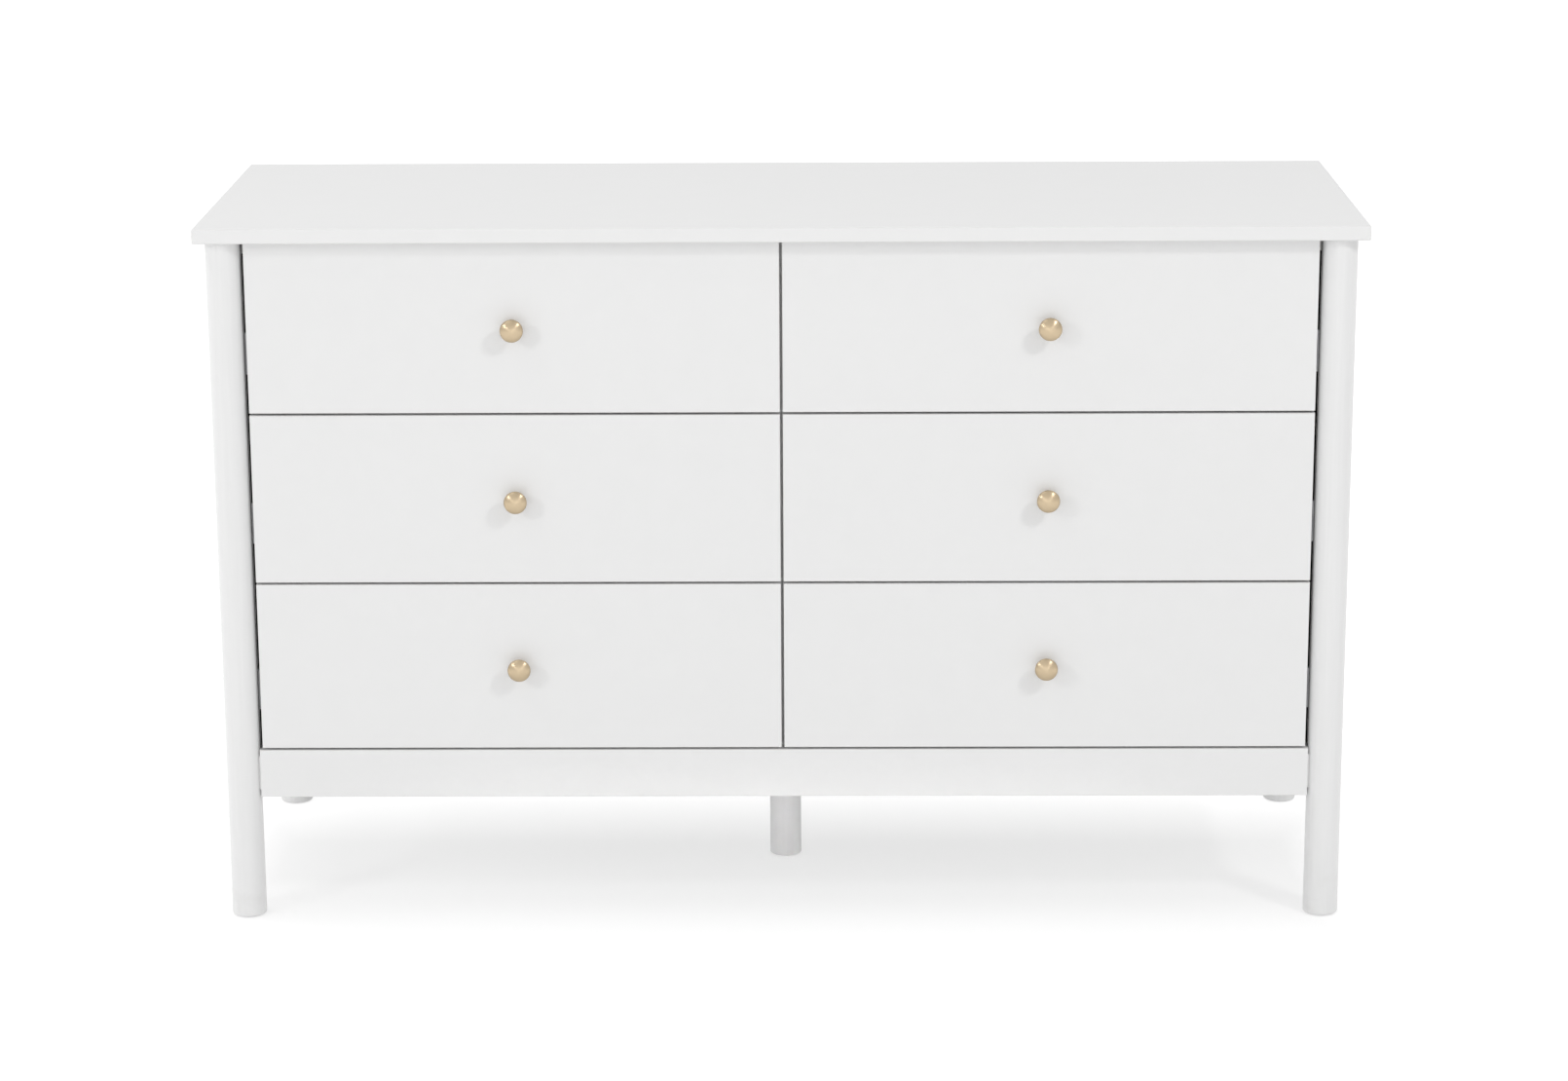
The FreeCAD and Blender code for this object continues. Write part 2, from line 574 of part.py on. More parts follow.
def cabinet_section():
    return lipped_channel("0", CABINET_HALF, "Sizes.cabinet_member", "Sizes.cabinet_lip")


def middle_section():
    return lipped_channel(STEP_IN, MIDDLE_HALF, MIDDLE_FRONT, "Sizes.middle_lip")


def drawer_section():
    """Hat-shaped section: its crown is fixed to the drawer, its brim runs behind the lips."""
    skin = "Sizes.runner_sheet"
    crown = "Sizes.runner_width"
    brim = f"2 * ({STEP_IN})"
    neck = f"{HAT_HALF} - {skin}"
    return [
        (crown, f"-({HAT_HALF})"), (crown, HAT_HALF), (f"{brim} + {skin}", HAT_HALF),
        (f"{brim} + {skin}", BRIM_HALF), (brim, BRIM_HALF), (brim, neck),
        (f"{crown} - {skin}", neck), (f"{crown} - {skin}", f"-({neck})"),
        (brim, f"-({neck})"), (brim, f"-({BRIM_HALF})"),
        (f"{brim} + {skin}", f"-({BRIM_HALF})"), (f"{brim} + {skin}", f"-({HAT_HALF})"),
    ]


def column_walls(sign):
    """The two cabinet faces beside a column of drawers, and the way from each to the drawer."""
    partition = signed(sign, HALF_BOARD)
    outer = signed(sign, "Layout.inner_x")
    return [(partition, this_way(sign)), (outer, other_way(sign))]


def slide_members(name, section, walls, row_z):
    """One member of every slide beside the walls, as separate folded strips."""
    body = new_body(name, "0", "Layout.runner_front_y", f"{row_z} + Sizes.runner_axis")
    sketch = sketch_on(body, "XZ_Plane")
    for wall, towards in walls:
        outline(sketch, folded(wall, towards, section))
    strips = pad(body, sketch, "Layout.runner_length")
    return body, strips


def cabinet_runners():
    """The twelve fixed members, four in each row."""
    walls = column_walls(-1) + column_walls(1)
    body, strips = slide_members("cabinet_runners", cabinet_section(), walls,
                                 "Layout.first_row_z")
    doc.recompute()
    rows = body.newObject("PartDesign::LinearPattern", "Rows")
    rows.Originals = [strips]
    rows.Direction = (origin_feature(body, "Z_Axis"), [""])
    rows.Occurrences = len(ROWS)
    rows.setExpression("Length", f"Layout.row_pitch * {len(ROWS) - 1}")
    body.Tip = rows


# ---------------------------------------------------------------- drawers


def drawer_front(name, sign, row_z):
    """Front board: eased face edges, housings for the sides and the bottom, knob screw hole."""
    body = new_body(name, "0", "Layout.face_y", row_z)
    face = sketch_on(body, "XZ_Plane")
    rectangle(face, signed(sign, "Layout.front_inner_x"), signed(sign, "Layout.front_outer_x"),
              "0", "Layout.front_height")
    board = pad(body, face, "Sizes.board")
    ease(body, board, "Sizes.edge_round", lambda edge: lies_at(edge, "Y", 0))
    box_top = "Sizes.box_rise + Layout.box_height"
    dados = sketch_on(body, "XZ_Plane", "Sizes.board")
    for near, far in (("Layout.box_inner_x", "Layout.box_inner_x + Sizes.box_side"),
                      ("Layout.box_outer_x - Sizes.box_side", "Layout.box_outer_x")):
        rectangle(dados, signed(sign, near), signed(sign, far), "Sizes.box_rise", box_top)
    pocket(body, dados, "Sizes.dado_depth", "-")
    groove = sketch_on(body, "XZ_Plane", "Sizes.board")
    rectangle(groove, signed(sign, "Layout.box_inner_x + Sizes.box_side / 2"),
              signed(sign, "Layout.box_outer_x - Sizes.box_side / 2"),
              "Layout.tray_z", "Layout.tray_top + Sizes.tray_play")
    pocket(body, groove, "Sizes.dado_depth", "-")
    knob = [(signed(sign, "Layout.knob_x"), "Layout.knob_z")]
    drill(body, "XZ_Plane", "0", knob, "Sizes.screw_hole", "Sizes.board", "+")


def drawer_sides(name, sign, row_z):
    """The two sides, grooved for the bottom and housed for the back."""
    body = new_body(name, "0", "Layout.face_back_y - Sizes.dado_depth", row_z)
    ends = sketch_on(body, "XZ_Plane")
    grooves = sketch_on(body, "XZ_Plane")
    housings = sketch_on(body, "XY_Plane", "Sizes.box_rise + Layout.box_height")
    back = "Layout.drawer_back_y - Sizes.board + Sizes.dado_depth"
    for wall, towards in (("Layout.box_inner_x", "+"), ("Layout.box_outer_x", "-")):
        outer = signed(sign, wall)
        inner = signed(sign, f"{wall} {towards} Sizes.box_side")
        seat = signed(sign, f"{wall} {towards} (Sizes.box_side - Sizes.dado_depth)")
        rectangle(ends, outer, inner, "Sizes.box_rise", "Sizes.box_rise + Layout.box_height")
        rectangle(grooves, seat, inner, "Layout.tray_z", "Layout.tray_top + Sizes.tray_play")
        rectangle(housings, seat, inner, back, f"{back} + Sizes.box_side")
    whole = "Layout.box_length + Sizes.dado_depth"
    pad(body, ends, whole)
    pocket(body, grooves, whole, "+")
    pocket(body, housings, "Layout.box_height - Sizes.tray_rise - Sizes.tray_thickness", "-")


def drawer_back(name, sign, row_z):
    """Back board, housed in the sides and standing on the bottom."""
    body = new_body(name, "0", "Layout.face_y + Layout.drawer_back_y", row_z)
    sketch = sketch_on(body, "XZ_Plane")
    seat = "(Sizes.box_side - Sizes.dado_depth)"
    rectangle(sketch, signed(sign, f"Layout.box_inner_x + {seat}"),
              signed(sign, f"Layout.box_outer_x - {seat}"),
              "Layout.tray_top", "Sizes.box_rise + Layout.box_height")
    pad(body, sketch, "Sizes.box_side")


def drawer_bottom(name, sign, row_z):
    """Thin sheet that slides into the grooves from behind and ends flush with the sides."""
    body = new_body(name, "0", "Layout.face_back_y - Sizes.dado_depth", row_z)
    sketch = sketch_on(body, "XY_Plane", "Layout.tray_z")
    seat = "(Sizes.box_side - Sizes.dado_depth)"
    rectangle(sketch, signed(sign, f"Layout.box_inner_x + {seat}"),
              signed(sign, f"Layout.box_outer_x - {seat}"),
              "0", "Layout.box_length + Sizes.dado_depth")
    pad(body, sketch, "Sizes.tray_thickness")


def knob_profile(sketch):
    """Half section of the knob, radius across and the way out of the drawer downwards."""
    tip = "-Sizes.knob_projection"
    rim = f"{tip} + Sizes.knob_dome"
    under = f"{rim} + Sizes.knob_rim"
    neck_top = f"{under} + Sizes.knob_under"
    head, neck, foot = "Sizes.knob_diameter / 2", "Sizes.knob_neck / 2", "Sizes.knob_foot / 2"
    bore = "Sizes.screw_diameter / 2 + Sizes.joint_play"
    bore_end = "-(Sizes.screw_reach + Sizes.joint_play)"
    corners = [
        (head, rim), (head, under), (neck, neck_top), (neck, "-2 * Sizes.knob_foot_thickness"),
        (foot, "-Sizes.knob_foot_thickness"), (foot, "0"), (bore, "0"), (bore, bore_end),
        ("0", bore_end), ("0", tip),
    ]
    spots = [FreeCAD.Vector(value_of(sketch, a), value_of(sketch, b), 0) for a, b in corners]
    last = len(corners) - 1
    for i in range(last):
        sketch.addGeometry(Part.LineSegment(spots[i], spots[i + 1]))
    radius, rise = spots[0].x, spots[0].y - spots[last].y
    dome_radius = (radius ** 2 + rise ** 2) / (2 * rise)
    centre = FreeCAD.Vector(0, spots[last].y + dome_radius, 0)
    middle = centre + (spots[0] + spots[last] - centre * 2).normalize() * dome_radius
    sketch.addGeometry(Part.Arc(spots[last], middle, spots[0]))
    for i in range(last):
        pin(sketch, i, 1, corners[i])
        if i < last - 1:
            sketch.addConstraint(Sketcher.Constraint("Coincident", i, 2, i + 1, 1))
    pin(sketch, last - 1, 2, corners[last])
    sketch.addConstraint(Sketcher.Constraint("Coincident", last, 1, last - 1, 2))
    sketch.addConstraint(Sketcher.Constraint("Coincident", last, 2, 0, 1))
    sketch.addConstraint(Sketcher.Constraint("PointOnObject", last, 3, -2))


def screw_profile(sketch):
    """Half section of the knob's screw, from its tip in the knob to the head in the drawer."""
    shank, head = "Sizes.screw_diameter / 2", "Sizes.screw_head / 2"
    outline(sketch, [
        ("0", "-Sizes.screw_reach"), (shank, "-Sizes.screw_reach"), (shank, "Sizes.board"),
        (head, "Sizes.board"), (head, "Sizes.board + Sizes.screw_head_height"),
        ("0", "Sizes.board + Sizes.screw_head_height"),
    ])


def turned(body, sketch):
    """Turn a half section about the body's Y axis."""
    feature = body.newObject("PartDesign::Revolution", "Revolution")
    feature.Profile = sketch
    feature.ReferenceAxis = (sketch, ["V_Axis"])
    feature.Angle = 360
    return feature


def drawer_knob(name, sign, row_z):
    """Turned metal knob with a domed head, and the machine screw that holds it."""
    body = new_body(name, signed(sign, "Layout.knob_x"), "Layout.face_y",
                    f"{row_z} + Layout.knob_z")
    sketch = sketch_on(body, "XY_Plane")
    knob_profile(sketch)
    knob = turned(body, sketch)
    width = value_of(sketch, "Sizes.knob_diameter")
    ease(body, knob, "Sizes.knob_rim_round",
         lambda edge: edge.BoundBox.YLength < 1e-4 and abs(edge.BoundBox.XLength - width) < 1e-3)
    screw = sketch_on(body, "XY_Plane")
    screw_profile(screw)
    turned(body, screw)


def drawer(row, row_z, side, sign):
    """The seven groups of pieces of one drawer."""
    name = f"drawer_{row}_{side}"
    drawer_front(f"{name}_front", sign, row_z)
    drawer_sides(f"{name}_sides", sign, row_z)
    drawer_back(f"{name}_back", sign, row_z)
    drawer_bottom(f"{name}_bottom", sign, row_z)
    drawer_knob(f"{name}_knob", sign, row_z)
    slide_members(f"{name}_runners", drawer_section(), column_walls(sign), row_z)
    slide_members(f"{name}_mid_runners", middle_section(), column_walls(sign), row_z)


# ---------------------------------------------------------------- cams, bolts and hanger bolt

TURN = {
    "x": FreeCAD.Rotation(FreeCAD.Vector(0, 1, 0), 90),
    "y": FreeCAD.Rotation(FreeCAD.Vector(1, 0, 0), -90),
    "z": FreeCAD.Rotation(),
}


def moved(place, axis, distance):
    """The place, shifted along one axis by a distance that may be negative."""
    return tuple(f"{text} + {distance}" if letter == axis else text
                 for letter, text in zip("xyz", place))


def rod(start, axis, sign, diameter, length):
    """Round bar from its start along one axis, towards + or -."""
    bar = doc.addObject("Part::Cylinder", "Rod")
    bar.setExpression("Radius", f"({diameter}) / 2")
    bar.setExpression("Height", length)
    low_end = start if sign > 0 else moved(start, axis, f"(-({length}))")
    bar.Placement.Rotation = TURN[axis]
    for letter, text in zip("xyz", low_end):
        bar.setExpression(f"Placement.Base.{letter}", text)
    return bar


def stepped(first, second):
    bolt = doc.addObject("Part::Fuse", "Bolt")
    bolt.Base = first
    bolt.Tool = second
    return bolt


def cam_joint(mouth, bore_axis, bore_sign, pull_axis, pull_sign):
    """A cam in its bore, and the bolt that it draws towards itself. mouth is the centre of the
    bore on the board's face; the bolt lies in the middle of the board's thickness."""
    cam = rod(mouth, bore_axis, bore_sign, "Sizes.cam_diameter", "Sizes.cam_height")
    middle = moved(mouth, bore_axis, signed(bore_sign, HALF_BOARD))
    shank_start = moved(middle, pull_axis, signed(pull_sign, "Sizes.cam_diameter / 2"))
    shank = rod(shank_start, pull_axis, pull_sign, "Sizes.bolt_diameter",
                "Sizes.cam_setback - Sizes.cam_diameter / 2")
    thread_start = moved(middle, pull_axis, signed(pull_sign, "Sizes.cam_setback"))
    thread = rod(thread_start, pull_axis, pull_sign, "Sizes.thread_diameter",
                 "Sizes.thread_length")
    return [cam, stepped(shank, thread)]


def joint_fittings():
    """All cams with their bolts, the hanger bolt of the middle leg and the plates' screws."""
    fittings = []
    rows = ["Layout.cam_front_y", "Layout.cam_rear_y"]
    for name, sign in SIDES:
        wall = signed(sign, "Layout.inner_x")
        ends = [("Layout.panel_front_y + Sizes.cam_setback", -1),
                ("Layout.panel_front_y + Layout.panel_depth - Sizes.cam_setback", 1)]
        for y, end in ends:
            for z in ("Layout.cam_low_z", "Layout.cam_high_z"):
                fittings += cam_joint((wall, y, z), "x", sign, "y", end)
        for y in rows:
            fittings += cam_joint((wall, y, "Layout.cam_top_z"), "x", sign, "z", 1)
            under = (signed(sign, "Layout.inner_x - Sizes.cam_setback"), y, "Layout.bottom_z")
            fittings += cam_joint(under, "z", 1, "x", sign)
    for y in rows:
        fittings += cam_joint((HALF_BOARD, y, "Layout.cam_top_z"), "x", -1, "z", 1)
        fittings += cam_joint((HALF_BOARD, y, "Layout.cam_foot_z"), "x", -1, "z", -1)
    hanger = ("0", "Layout.centre_leg_y", "Layout.bottom_z - Sizes.hanger_depth")
    fittings.append(rod(hanger, "z", 1, "Sizes.hanger_diameter",
                        "Sizes.hanger_depth + Sizes.hanger_reach"))
    for x, z in plate_points("Layout.plate_screw_z"):
        seat = (x, "Layout.back_rear_y + Sizes.plate_sheet", z)
        shank = rod(seat, "y", -1, "Sizes.plate_screw",
                    "Sizes.plate_sheet + Sizes.plate_screw_length")
        head = rod(seat, "y", 1, "Sizes.plate_head", "Sizes.plate_head_height")
        fittings.append(stepped(shank, head))
    group = doc.addObject("Part::Compound", "joint_fittings")
    group.Links = fittings
    pieces.append(group)


# ---------------------------------------------------------------- the dresser, put together

APRON_Z = "Sizes.apron_clearance"
RAIL_Z = [APRON_Z, "Layout.upper_rail_z"]

top_panel()
for side, sign in SIDES:
    corner_leg(f"front_{side}_leg", sign, 1, [APRON_Z])
    corner_leg(f"rear_{side}_leg", sign, -1, RAIL_Z)
    side_panel(f"{side}_side_panel", sign)
centre_leg()
foot_glides()
centre_partition()
bottom_panel()
tenoned_boards("front_apron", "Layout.face_y", [APRON_Z], rounded=True)
front_top_rail()
rails = tenoned_boards("rear_rails", "Layout.rail_front_y", RAIL_Z, rounded=False)
drill_for_plates(rails, "Sizes.board", "Sizes.board", "-", screw_depth=PLATE_SCREW_DEPTH)
back_panels()
tip_restraint_plates()
cabinet_runners()
for number, row in enumerate(ROWS):
    for side, sign in SIDES:
        drawer(row, f"Layout.first_row_z + {number} * Layout.row_pitch", side, sign)
joint_fittings()
doc.recompute()

# ---------------------------------------------------------------- checks and export

for item in doc.Objects:
    if "Invalid" in item.State or "Error" in item.State:
        raise RuntimeError(f"{item.Name} ({item.Label}) did not build: {item.State}")
for piece in pieces:
    if piece.Shape.isNull() or not piece.Shape.isValid():
        raise RuntimeError(f"{piece.Label} has no valid shape")
for piece in pieces:
    piece.Shape.exportStep(f"parts/{piece.Label}.step")
    print(piece.Label, len(piece.Shape.Solids), round(piece.Shape.Volume))
print(len(pieces), "sub-parts")
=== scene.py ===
import math

import bmesh
import bpy
from mathutils import Matrix, Vector


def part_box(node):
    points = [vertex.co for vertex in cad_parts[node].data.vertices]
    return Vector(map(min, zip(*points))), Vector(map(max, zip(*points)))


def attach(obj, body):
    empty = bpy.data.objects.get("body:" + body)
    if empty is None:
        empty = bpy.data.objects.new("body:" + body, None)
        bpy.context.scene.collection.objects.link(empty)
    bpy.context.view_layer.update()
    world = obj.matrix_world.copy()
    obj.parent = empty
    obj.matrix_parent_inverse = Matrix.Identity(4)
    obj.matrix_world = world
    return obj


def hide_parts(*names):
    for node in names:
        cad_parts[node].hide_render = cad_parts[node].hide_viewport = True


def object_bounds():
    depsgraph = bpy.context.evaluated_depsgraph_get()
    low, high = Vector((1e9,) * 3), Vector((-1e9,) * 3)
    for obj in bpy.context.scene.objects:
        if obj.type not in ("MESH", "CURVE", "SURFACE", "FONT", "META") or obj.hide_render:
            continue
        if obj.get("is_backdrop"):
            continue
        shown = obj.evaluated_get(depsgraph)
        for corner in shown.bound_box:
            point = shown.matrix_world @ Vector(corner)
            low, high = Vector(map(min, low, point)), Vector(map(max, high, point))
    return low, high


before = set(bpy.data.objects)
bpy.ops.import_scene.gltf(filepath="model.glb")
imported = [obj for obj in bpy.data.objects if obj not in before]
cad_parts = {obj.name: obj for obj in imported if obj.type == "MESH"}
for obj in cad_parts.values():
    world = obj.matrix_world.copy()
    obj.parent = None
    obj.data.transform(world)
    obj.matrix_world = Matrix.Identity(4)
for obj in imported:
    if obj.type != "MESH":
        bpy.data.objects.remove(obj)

cad_low, cad_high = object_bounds()

# ---------------------------------------------------------------- corner posts and middle leg
# Round posts turned from rubberwood and sprayed with white lacquer. The four corner posts run
# from the floor to the top and hold the side panels in rebates; the short middle leg is
# screwed up into the bottom panel.


def shader_group(name, inputs, outputs):
    """Empty node group with named sockets; gives the tree and its two end nodes."""
    tree = bpy.data.node_groups.new(name, "ShaderNodeTree")
    for label, kind, value in inputs:
        socket = tree.interface.new_socket(label, in_out="INPUT", socket_type=f"NodeSocket{kind}")
        socket.default_value = value
    for label, kind in outputs:
        tree.interface.new_socket(label, in_out="OUTPUT", socket_type=f"NodeSocket{kind}")
    return tree, tree.nodes.new("NodeGroupInput"), tree.nodes.new("NodeGroupOutput")


def node(tree, kind, values=None, **settings):
    """New node; values fill its sockets by name or number, and a socket given is linked."""
    made = tree.nodes.new(f"ShaderNode{kind}")
    for name, value in settings.items():
        setattr(made, name, value)
    for key, value in (values or {}).items():
        if isinstance(value, bpy.types.NodeSocket):
            tree.links.new(value, made.inputs[key])
        else:
            made.inputs[key].default_value = value
    return made


def maths(tree, operation, *values):
    return node(tree, "Math", dict(enumerate(values)), operation=operation).outputs[0]


def about(tree, value, amount, base):
    """Base, raised or lowered by as much of the amount as value is off one half."""
    return maths(tree, "MULTIPLY_ADD", maths(tree, "SUBTRACT", value, 0.5), amount, base)


def object_place(tree):
    return node(tree, "TexCoord").outputs["Object"]


def noise(tree, place, scale, detail):
    """Soft noise from 0 to 1; the scale is in spots to a metre."""
    return node(tree, "TexNoise", {"Vector": place, "Scale": scale,
                                   "Detail": detail}).outputs["Fac"]


def spread(tree, value, low, high, to_low, to_high):
    """Carry a value from one range to another, held at its ends."""
    return node(tree, "MapRange", {"Value": value, "From Min": low, "From Max": high,
                                   "To Min": to_low, "To Max": to_high}).outputs["Result"]


def tinted(tree, colour, factor):
    """Colour times a plain factor."""
    return node(tree, "VectorMath", {0: colour, 3: factor}, operation="SCALE").outputs[0]


def blended(tree, factor, first, second):
    mix = node(tree, "Mix", data_type="RGBA")
    for key, value in (("Factor", factor), ("A", first), ("B", second)):
        socket = next(s for s in mix.inputs if s.name == key and s.enabled)
        if isinstance(value, bpy.types.NodeSocket):
            tree.links.new(value, socket)
        else:
            socket.default_value = value
    return next(s for s in mix.outputs if s.enabled)


CLOUDS, HAZE, PEEL, NIBS = 2.6, 38.0, 420.0, 26.0     # spots of each to a metre
CLOUD_SHARE = 0.7         # of the clouding; the haze has the rest
NIB_SIZE = 0.022          # of its cell
NIB_RARITY = 0.86         # share of the cells that have none
SWING = 4.0               # the noise keeps near one half; this brings it to about -1 to 1
NIB_SHADE, FIBRE_SHADE = -0.05, 0.05
CLOUD_ROUGHNESS, FIBRE_ROUGHNESS = 0.035, 0.06
NIB_RISE, FIBRE_RISE = 0.00005, 0.00003


def sprayed_film():
    """Lacquer film: slight clouding, orange peel, a few nibs, and fibres that show through."""
    tree, given, result = shader_group(
        "sprayed_film",
        [("Colour", "Color", (0.8, 0.8, 0.8, 1)), ("Clouding", "Float", 0.012),
         ("Roughness", "Float", 0.38), ("Peel", "Float", 0.00002),
         ("Fibre", "Float", 0.0), ("Fibre Scale", "Vector", (200, 200, 5))],
        [("Colour", "Color"), ("Roughness", "Float"), ("Height", "Float")])
    place = object_place(tree)
    cloud = noise(tree, place, CLOUDS, 4.0)
    haze = noise(tree, place, HAZE, 3.0)
    both = maths(tree, "ADD", maths(tree, "MULTIPLY", cloud, CLOUD_SHARE),
                 maths(tree, "MULTIPLY", haze, 1 - CLOUD_SHARE))
    swing = maths(tree, "MULTIPLY", maths(tree, "SUBTRACT", both, 0.5), SWING)
    shade = maths(tree, "MULTIPLY_ADD", swing, given.outputs["Clouding"], 1.0)
    stretched = node(tree, "VectorMath", {0: place, 1: given.outputs["Fibre Scale"]},
                     operation="MULTIPLY").outputs[0]
    fibre = node(tree, "TexNoise", {"Vector": stretched, "Scale": 1.0, "Detail": 5.0,
                                    "Roughness": 0.6}).outputs["Fac"]
    line = spread(tree, fibre, 0.35, 0.65, 0.0, 1.0)
    peel = noise(tree, place, PEEL, 2.0)
    cell = node(tree, "TexVoronoi", {"Vector": place, "Scale": NIBS})
    nib = spread(tree, cell.outputs["Distance"], 0.0, NIB_SIZE, 1.0, 0.0)
    drawn = node(tree, "SeparateColor", {0: cell.outputs["Color"]}).outputs[0]
    nib = maths(tree, "MULTIPLY", nib, maths(tree, "GREATER_THAN", drawn, NIB_RARITY))
    dark = maths(tree, "MULTIPLY_ADD", nib, NIB_SHADE, shade)
    veil = maths(tree, "MULTIPLY", maths(tree, "SUBTRACT", line, 0.5), given.outputs["Fibre"])
    dark = maths(tree, "MULTIPLY_ADD", veil, FIBRE_SHADE, dark)
    tree.links.new(tinted(tree, given.outputs["Colour"], dark), result.inputs["Colour"])
    rough = maths(tree, "MULTIPLY_ADD", swing, CLOUD_ROUGHNESS, given.outputs["Roughness"])
    rough = maths(tree, "MULTIPLY_ADD", veil, FIBRE_ROUGHNESS, rough)
    tree.links.new(rough, result.inputs["Roughness"])
    height = maths(tree, "MULTIPLY", peel, given.outputs["Peel"])
    height = maths(tree, "MULTIPLY_ADD", veil, FIBRE_RISE, height)
    height = maths(tree, "MULTIPLY_ADD", nib, NIB_RISE, height)
    tree.links.new(height, result.inputs["Height"])
    return tree


def finished(name, film, values, coat=0.12, metal=0.0, tree_extra=None):
    """Material with one film group on a Principled shader; tree_extra may change what the film
    gives before it reaches the shader."""
    material = bpy.data.materials.new(name)
    material.use_nodes = True
    tree = material.node_tree
    shader = tree.nodes["Principled BSDF"]
    shader.inputs["Metallic"].default_value = metal
    shader.inputs["Coat Weight"].default_value = coat
    shader.inputs["Coat Roughness"].default_value = 0.25
    group = node(tree, "Group", node_tree=film)
    for key, value in values.items():
        group.inputs[key].default_value = value
    colour, rough, height = (group.outputs[k] for k in ("Colour", "Roughness", "Height"))
    if tree_extra:
        colour, rough, height = tree_extra(tree, colour, rough, height)
    tree.links.new(colour, shader.inputs["Base Color"])
    tree.links.new(rough, shader.inputs["Roughness"])
    bump = node(tree, "Bump", {"Strength": 1.0, "Distance": 1.0, "Height": height})
    tree.links.new(bump.outputs["Normal"], shader.inputs["Normal"])
    return material


def dressed(names, material):
    """Give CAD pieces their finish."""
    for name in names:
        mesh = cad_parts[name].data
        mesh.materials.clear()
        mesh.materials.append(material)


WHITE = (0.845, 0.845, 0.843, 1)
FILM = sprayed_film()

# Painted shade: near-black paint on the post flanks and side panels in the slit beside the drawer
# fronts, so that the slit reads as a dark line.
SLIT_SHADE_PAINT = (0.018, 0.018, 0.019, 1)
SLIT_SHADE_ROUGHNESS = 0.8
SLIT_SHADE_WAVER = 0.0008      # how far the edge of the painted shade strays
SLIT_SHADE_BACK = -0.150       # where the painted shade ends behind the fronts
FLANK_BAND = 0.003        # flank of a post painted dark as shade, outwards from its innermost line
FLANK_LEAD = 0.0015       # its painted shade starts this far before the post's axis
FACE_BAND = 0.0002        # of a side panel only the inner face is painted dark as shade
FACE_LEAD = 0.01          # whose painted shade starts this far before the panel's edge


def painted_slit_shade():
    """Mask of the faces that close the narrow slit beside the drawer fronts, which are painted
    dark as shade: as far out as Outer, from Front back to Back, and above Bottom."""
    tree, given, result = shader_group(
        "painted_slit_shade",
        [("Outer", "Float", 0.6), ("Front", "Float", -0.2), ("Back", "Float", -0.15),
         ("Bottom", "Float", 0.2)],
        [("Mask", "Float")])
    place = object_place(tree)
    parts = node(tree, "SeparateXYZ", {0: place})
    waver = noise(tree, place, 90.0, 3.0)
    y = about(tree, waver, SLIT_SHADE_WAVER, parts.outputs["Y"])
    inner = maths(tree, "LESS_THAN", maths(tree, "ABSOLUTE", parts.outputs["X"]),
                  given.outputs["Outer"])
    past = maths(tree, "GREATER_THAN", y, given.outputs["Front"])
    short = maths(tree, "LESS_THAN", y, given.outputs["Back"])
    above = maths(tree, "GREATER_THAN", parts.outputs["Z"], given.outputs["Bottom"])
    both = maths(tree, "MULTIPLY", maths(tree, "MULTIPLY", past, short), above)
    tree.links.new(maths(tree, "MULTIPLY", inner, both), result.inputs["Mask"])
    return tree


SLIT_SHADE_GROUP = painted_slit_shade()


def with_slit_shade(tree, colour, rough, outer, front):
    """Lay the painted shade of the slit over a finish, down to the apron's top edge."""
    recess = node(tree, "Group", node_tree=SLIT_SHADE_GROUP)
    apron_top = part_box("front_apron")[1].z
    for key, value in (("Outer", outer), ("Front", front), ("Back", SLIT_SHADE_BACK),
                       ("Bottom", apron_top)):
        recess.inputs[key].default_value = value
    mask = recess.outputs["Mask"]
    return (blended(tree, mask, colour, SLIT_SHADE_PAINT),
            maths(tree, "MAXIMUM", rough, maths(tree, "MULTIPLY", mask, SLIT_SHADE_ROUGHNESS)))


SCUFF = (0.55, 0.53, 0.50, 1)
SCUFF_TOP = 0.07          # height that the rubs reach
SCUFF_DEPTH = 0.16        # how much of the grey shows in the darkest rub


def scuffed_foot_and_slit_shade(tree, colour, rough, height):
    """Faint grey rubs low on a post, where shoes and a mop reach; painted shade on its flank in
    the slit.
    """
    post_low, post_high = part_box("front_left_leg")
    axis = (post_low.y + post_high.y) / 2
    # painted shade: the flank of the post beside the drawer fronts is painted near-black
    colour, rough = with_slit_shade(tree, colour, rough, abs(post_high.x) + FLANK_BAND,
                            axis - FLANK_LEAD)
    place = object_place(tree)
    level = node(tree, "SeparateXYZ", {0: place}).outputs["Z"]
    low = spread(tree, level, 0.0, SCUFF_TOP, 1.0, 0.0)
    blot = noise(tree, place, 60.0, 6.0)
    rub = maths(tree, "MULTIPLY", low, spread(tree, blot, 0.5, 0.75, 0.0, SCUFF_DEPTH))
    colour = blended(tree, rub, colour, SCUFF)
    return colour, maths(tree, "ADD", rough, maths(tree, "MULTIPLY", rub, 0.5)), height


post_lacquer = finished(
    "post_lacquer", FILM,
    {"Colour": WHITE, "Clouding": 0.010, "Roughness": 0.36, "Fibre": 0.5,
     "Fibre Scale": (240, 240, 7)}, tree_extra=scuffed_foot_and_slit_shade)
dressed(["front_left_leg", "front_right_leg", "rear_left_leg", "rear_right_leg", "centre_leg"],
        post_lacquer)

# ---------------------------------------------------------------- carcass boards
# Fibreboard panels and rails, 16 mm thick, lacquered white on every face and edge. They are
# drawn together by cam locks; the two side panels sit between a front and a rear post.

LEAST_WEAR = 0.15         # rub of an arris between its worn patches


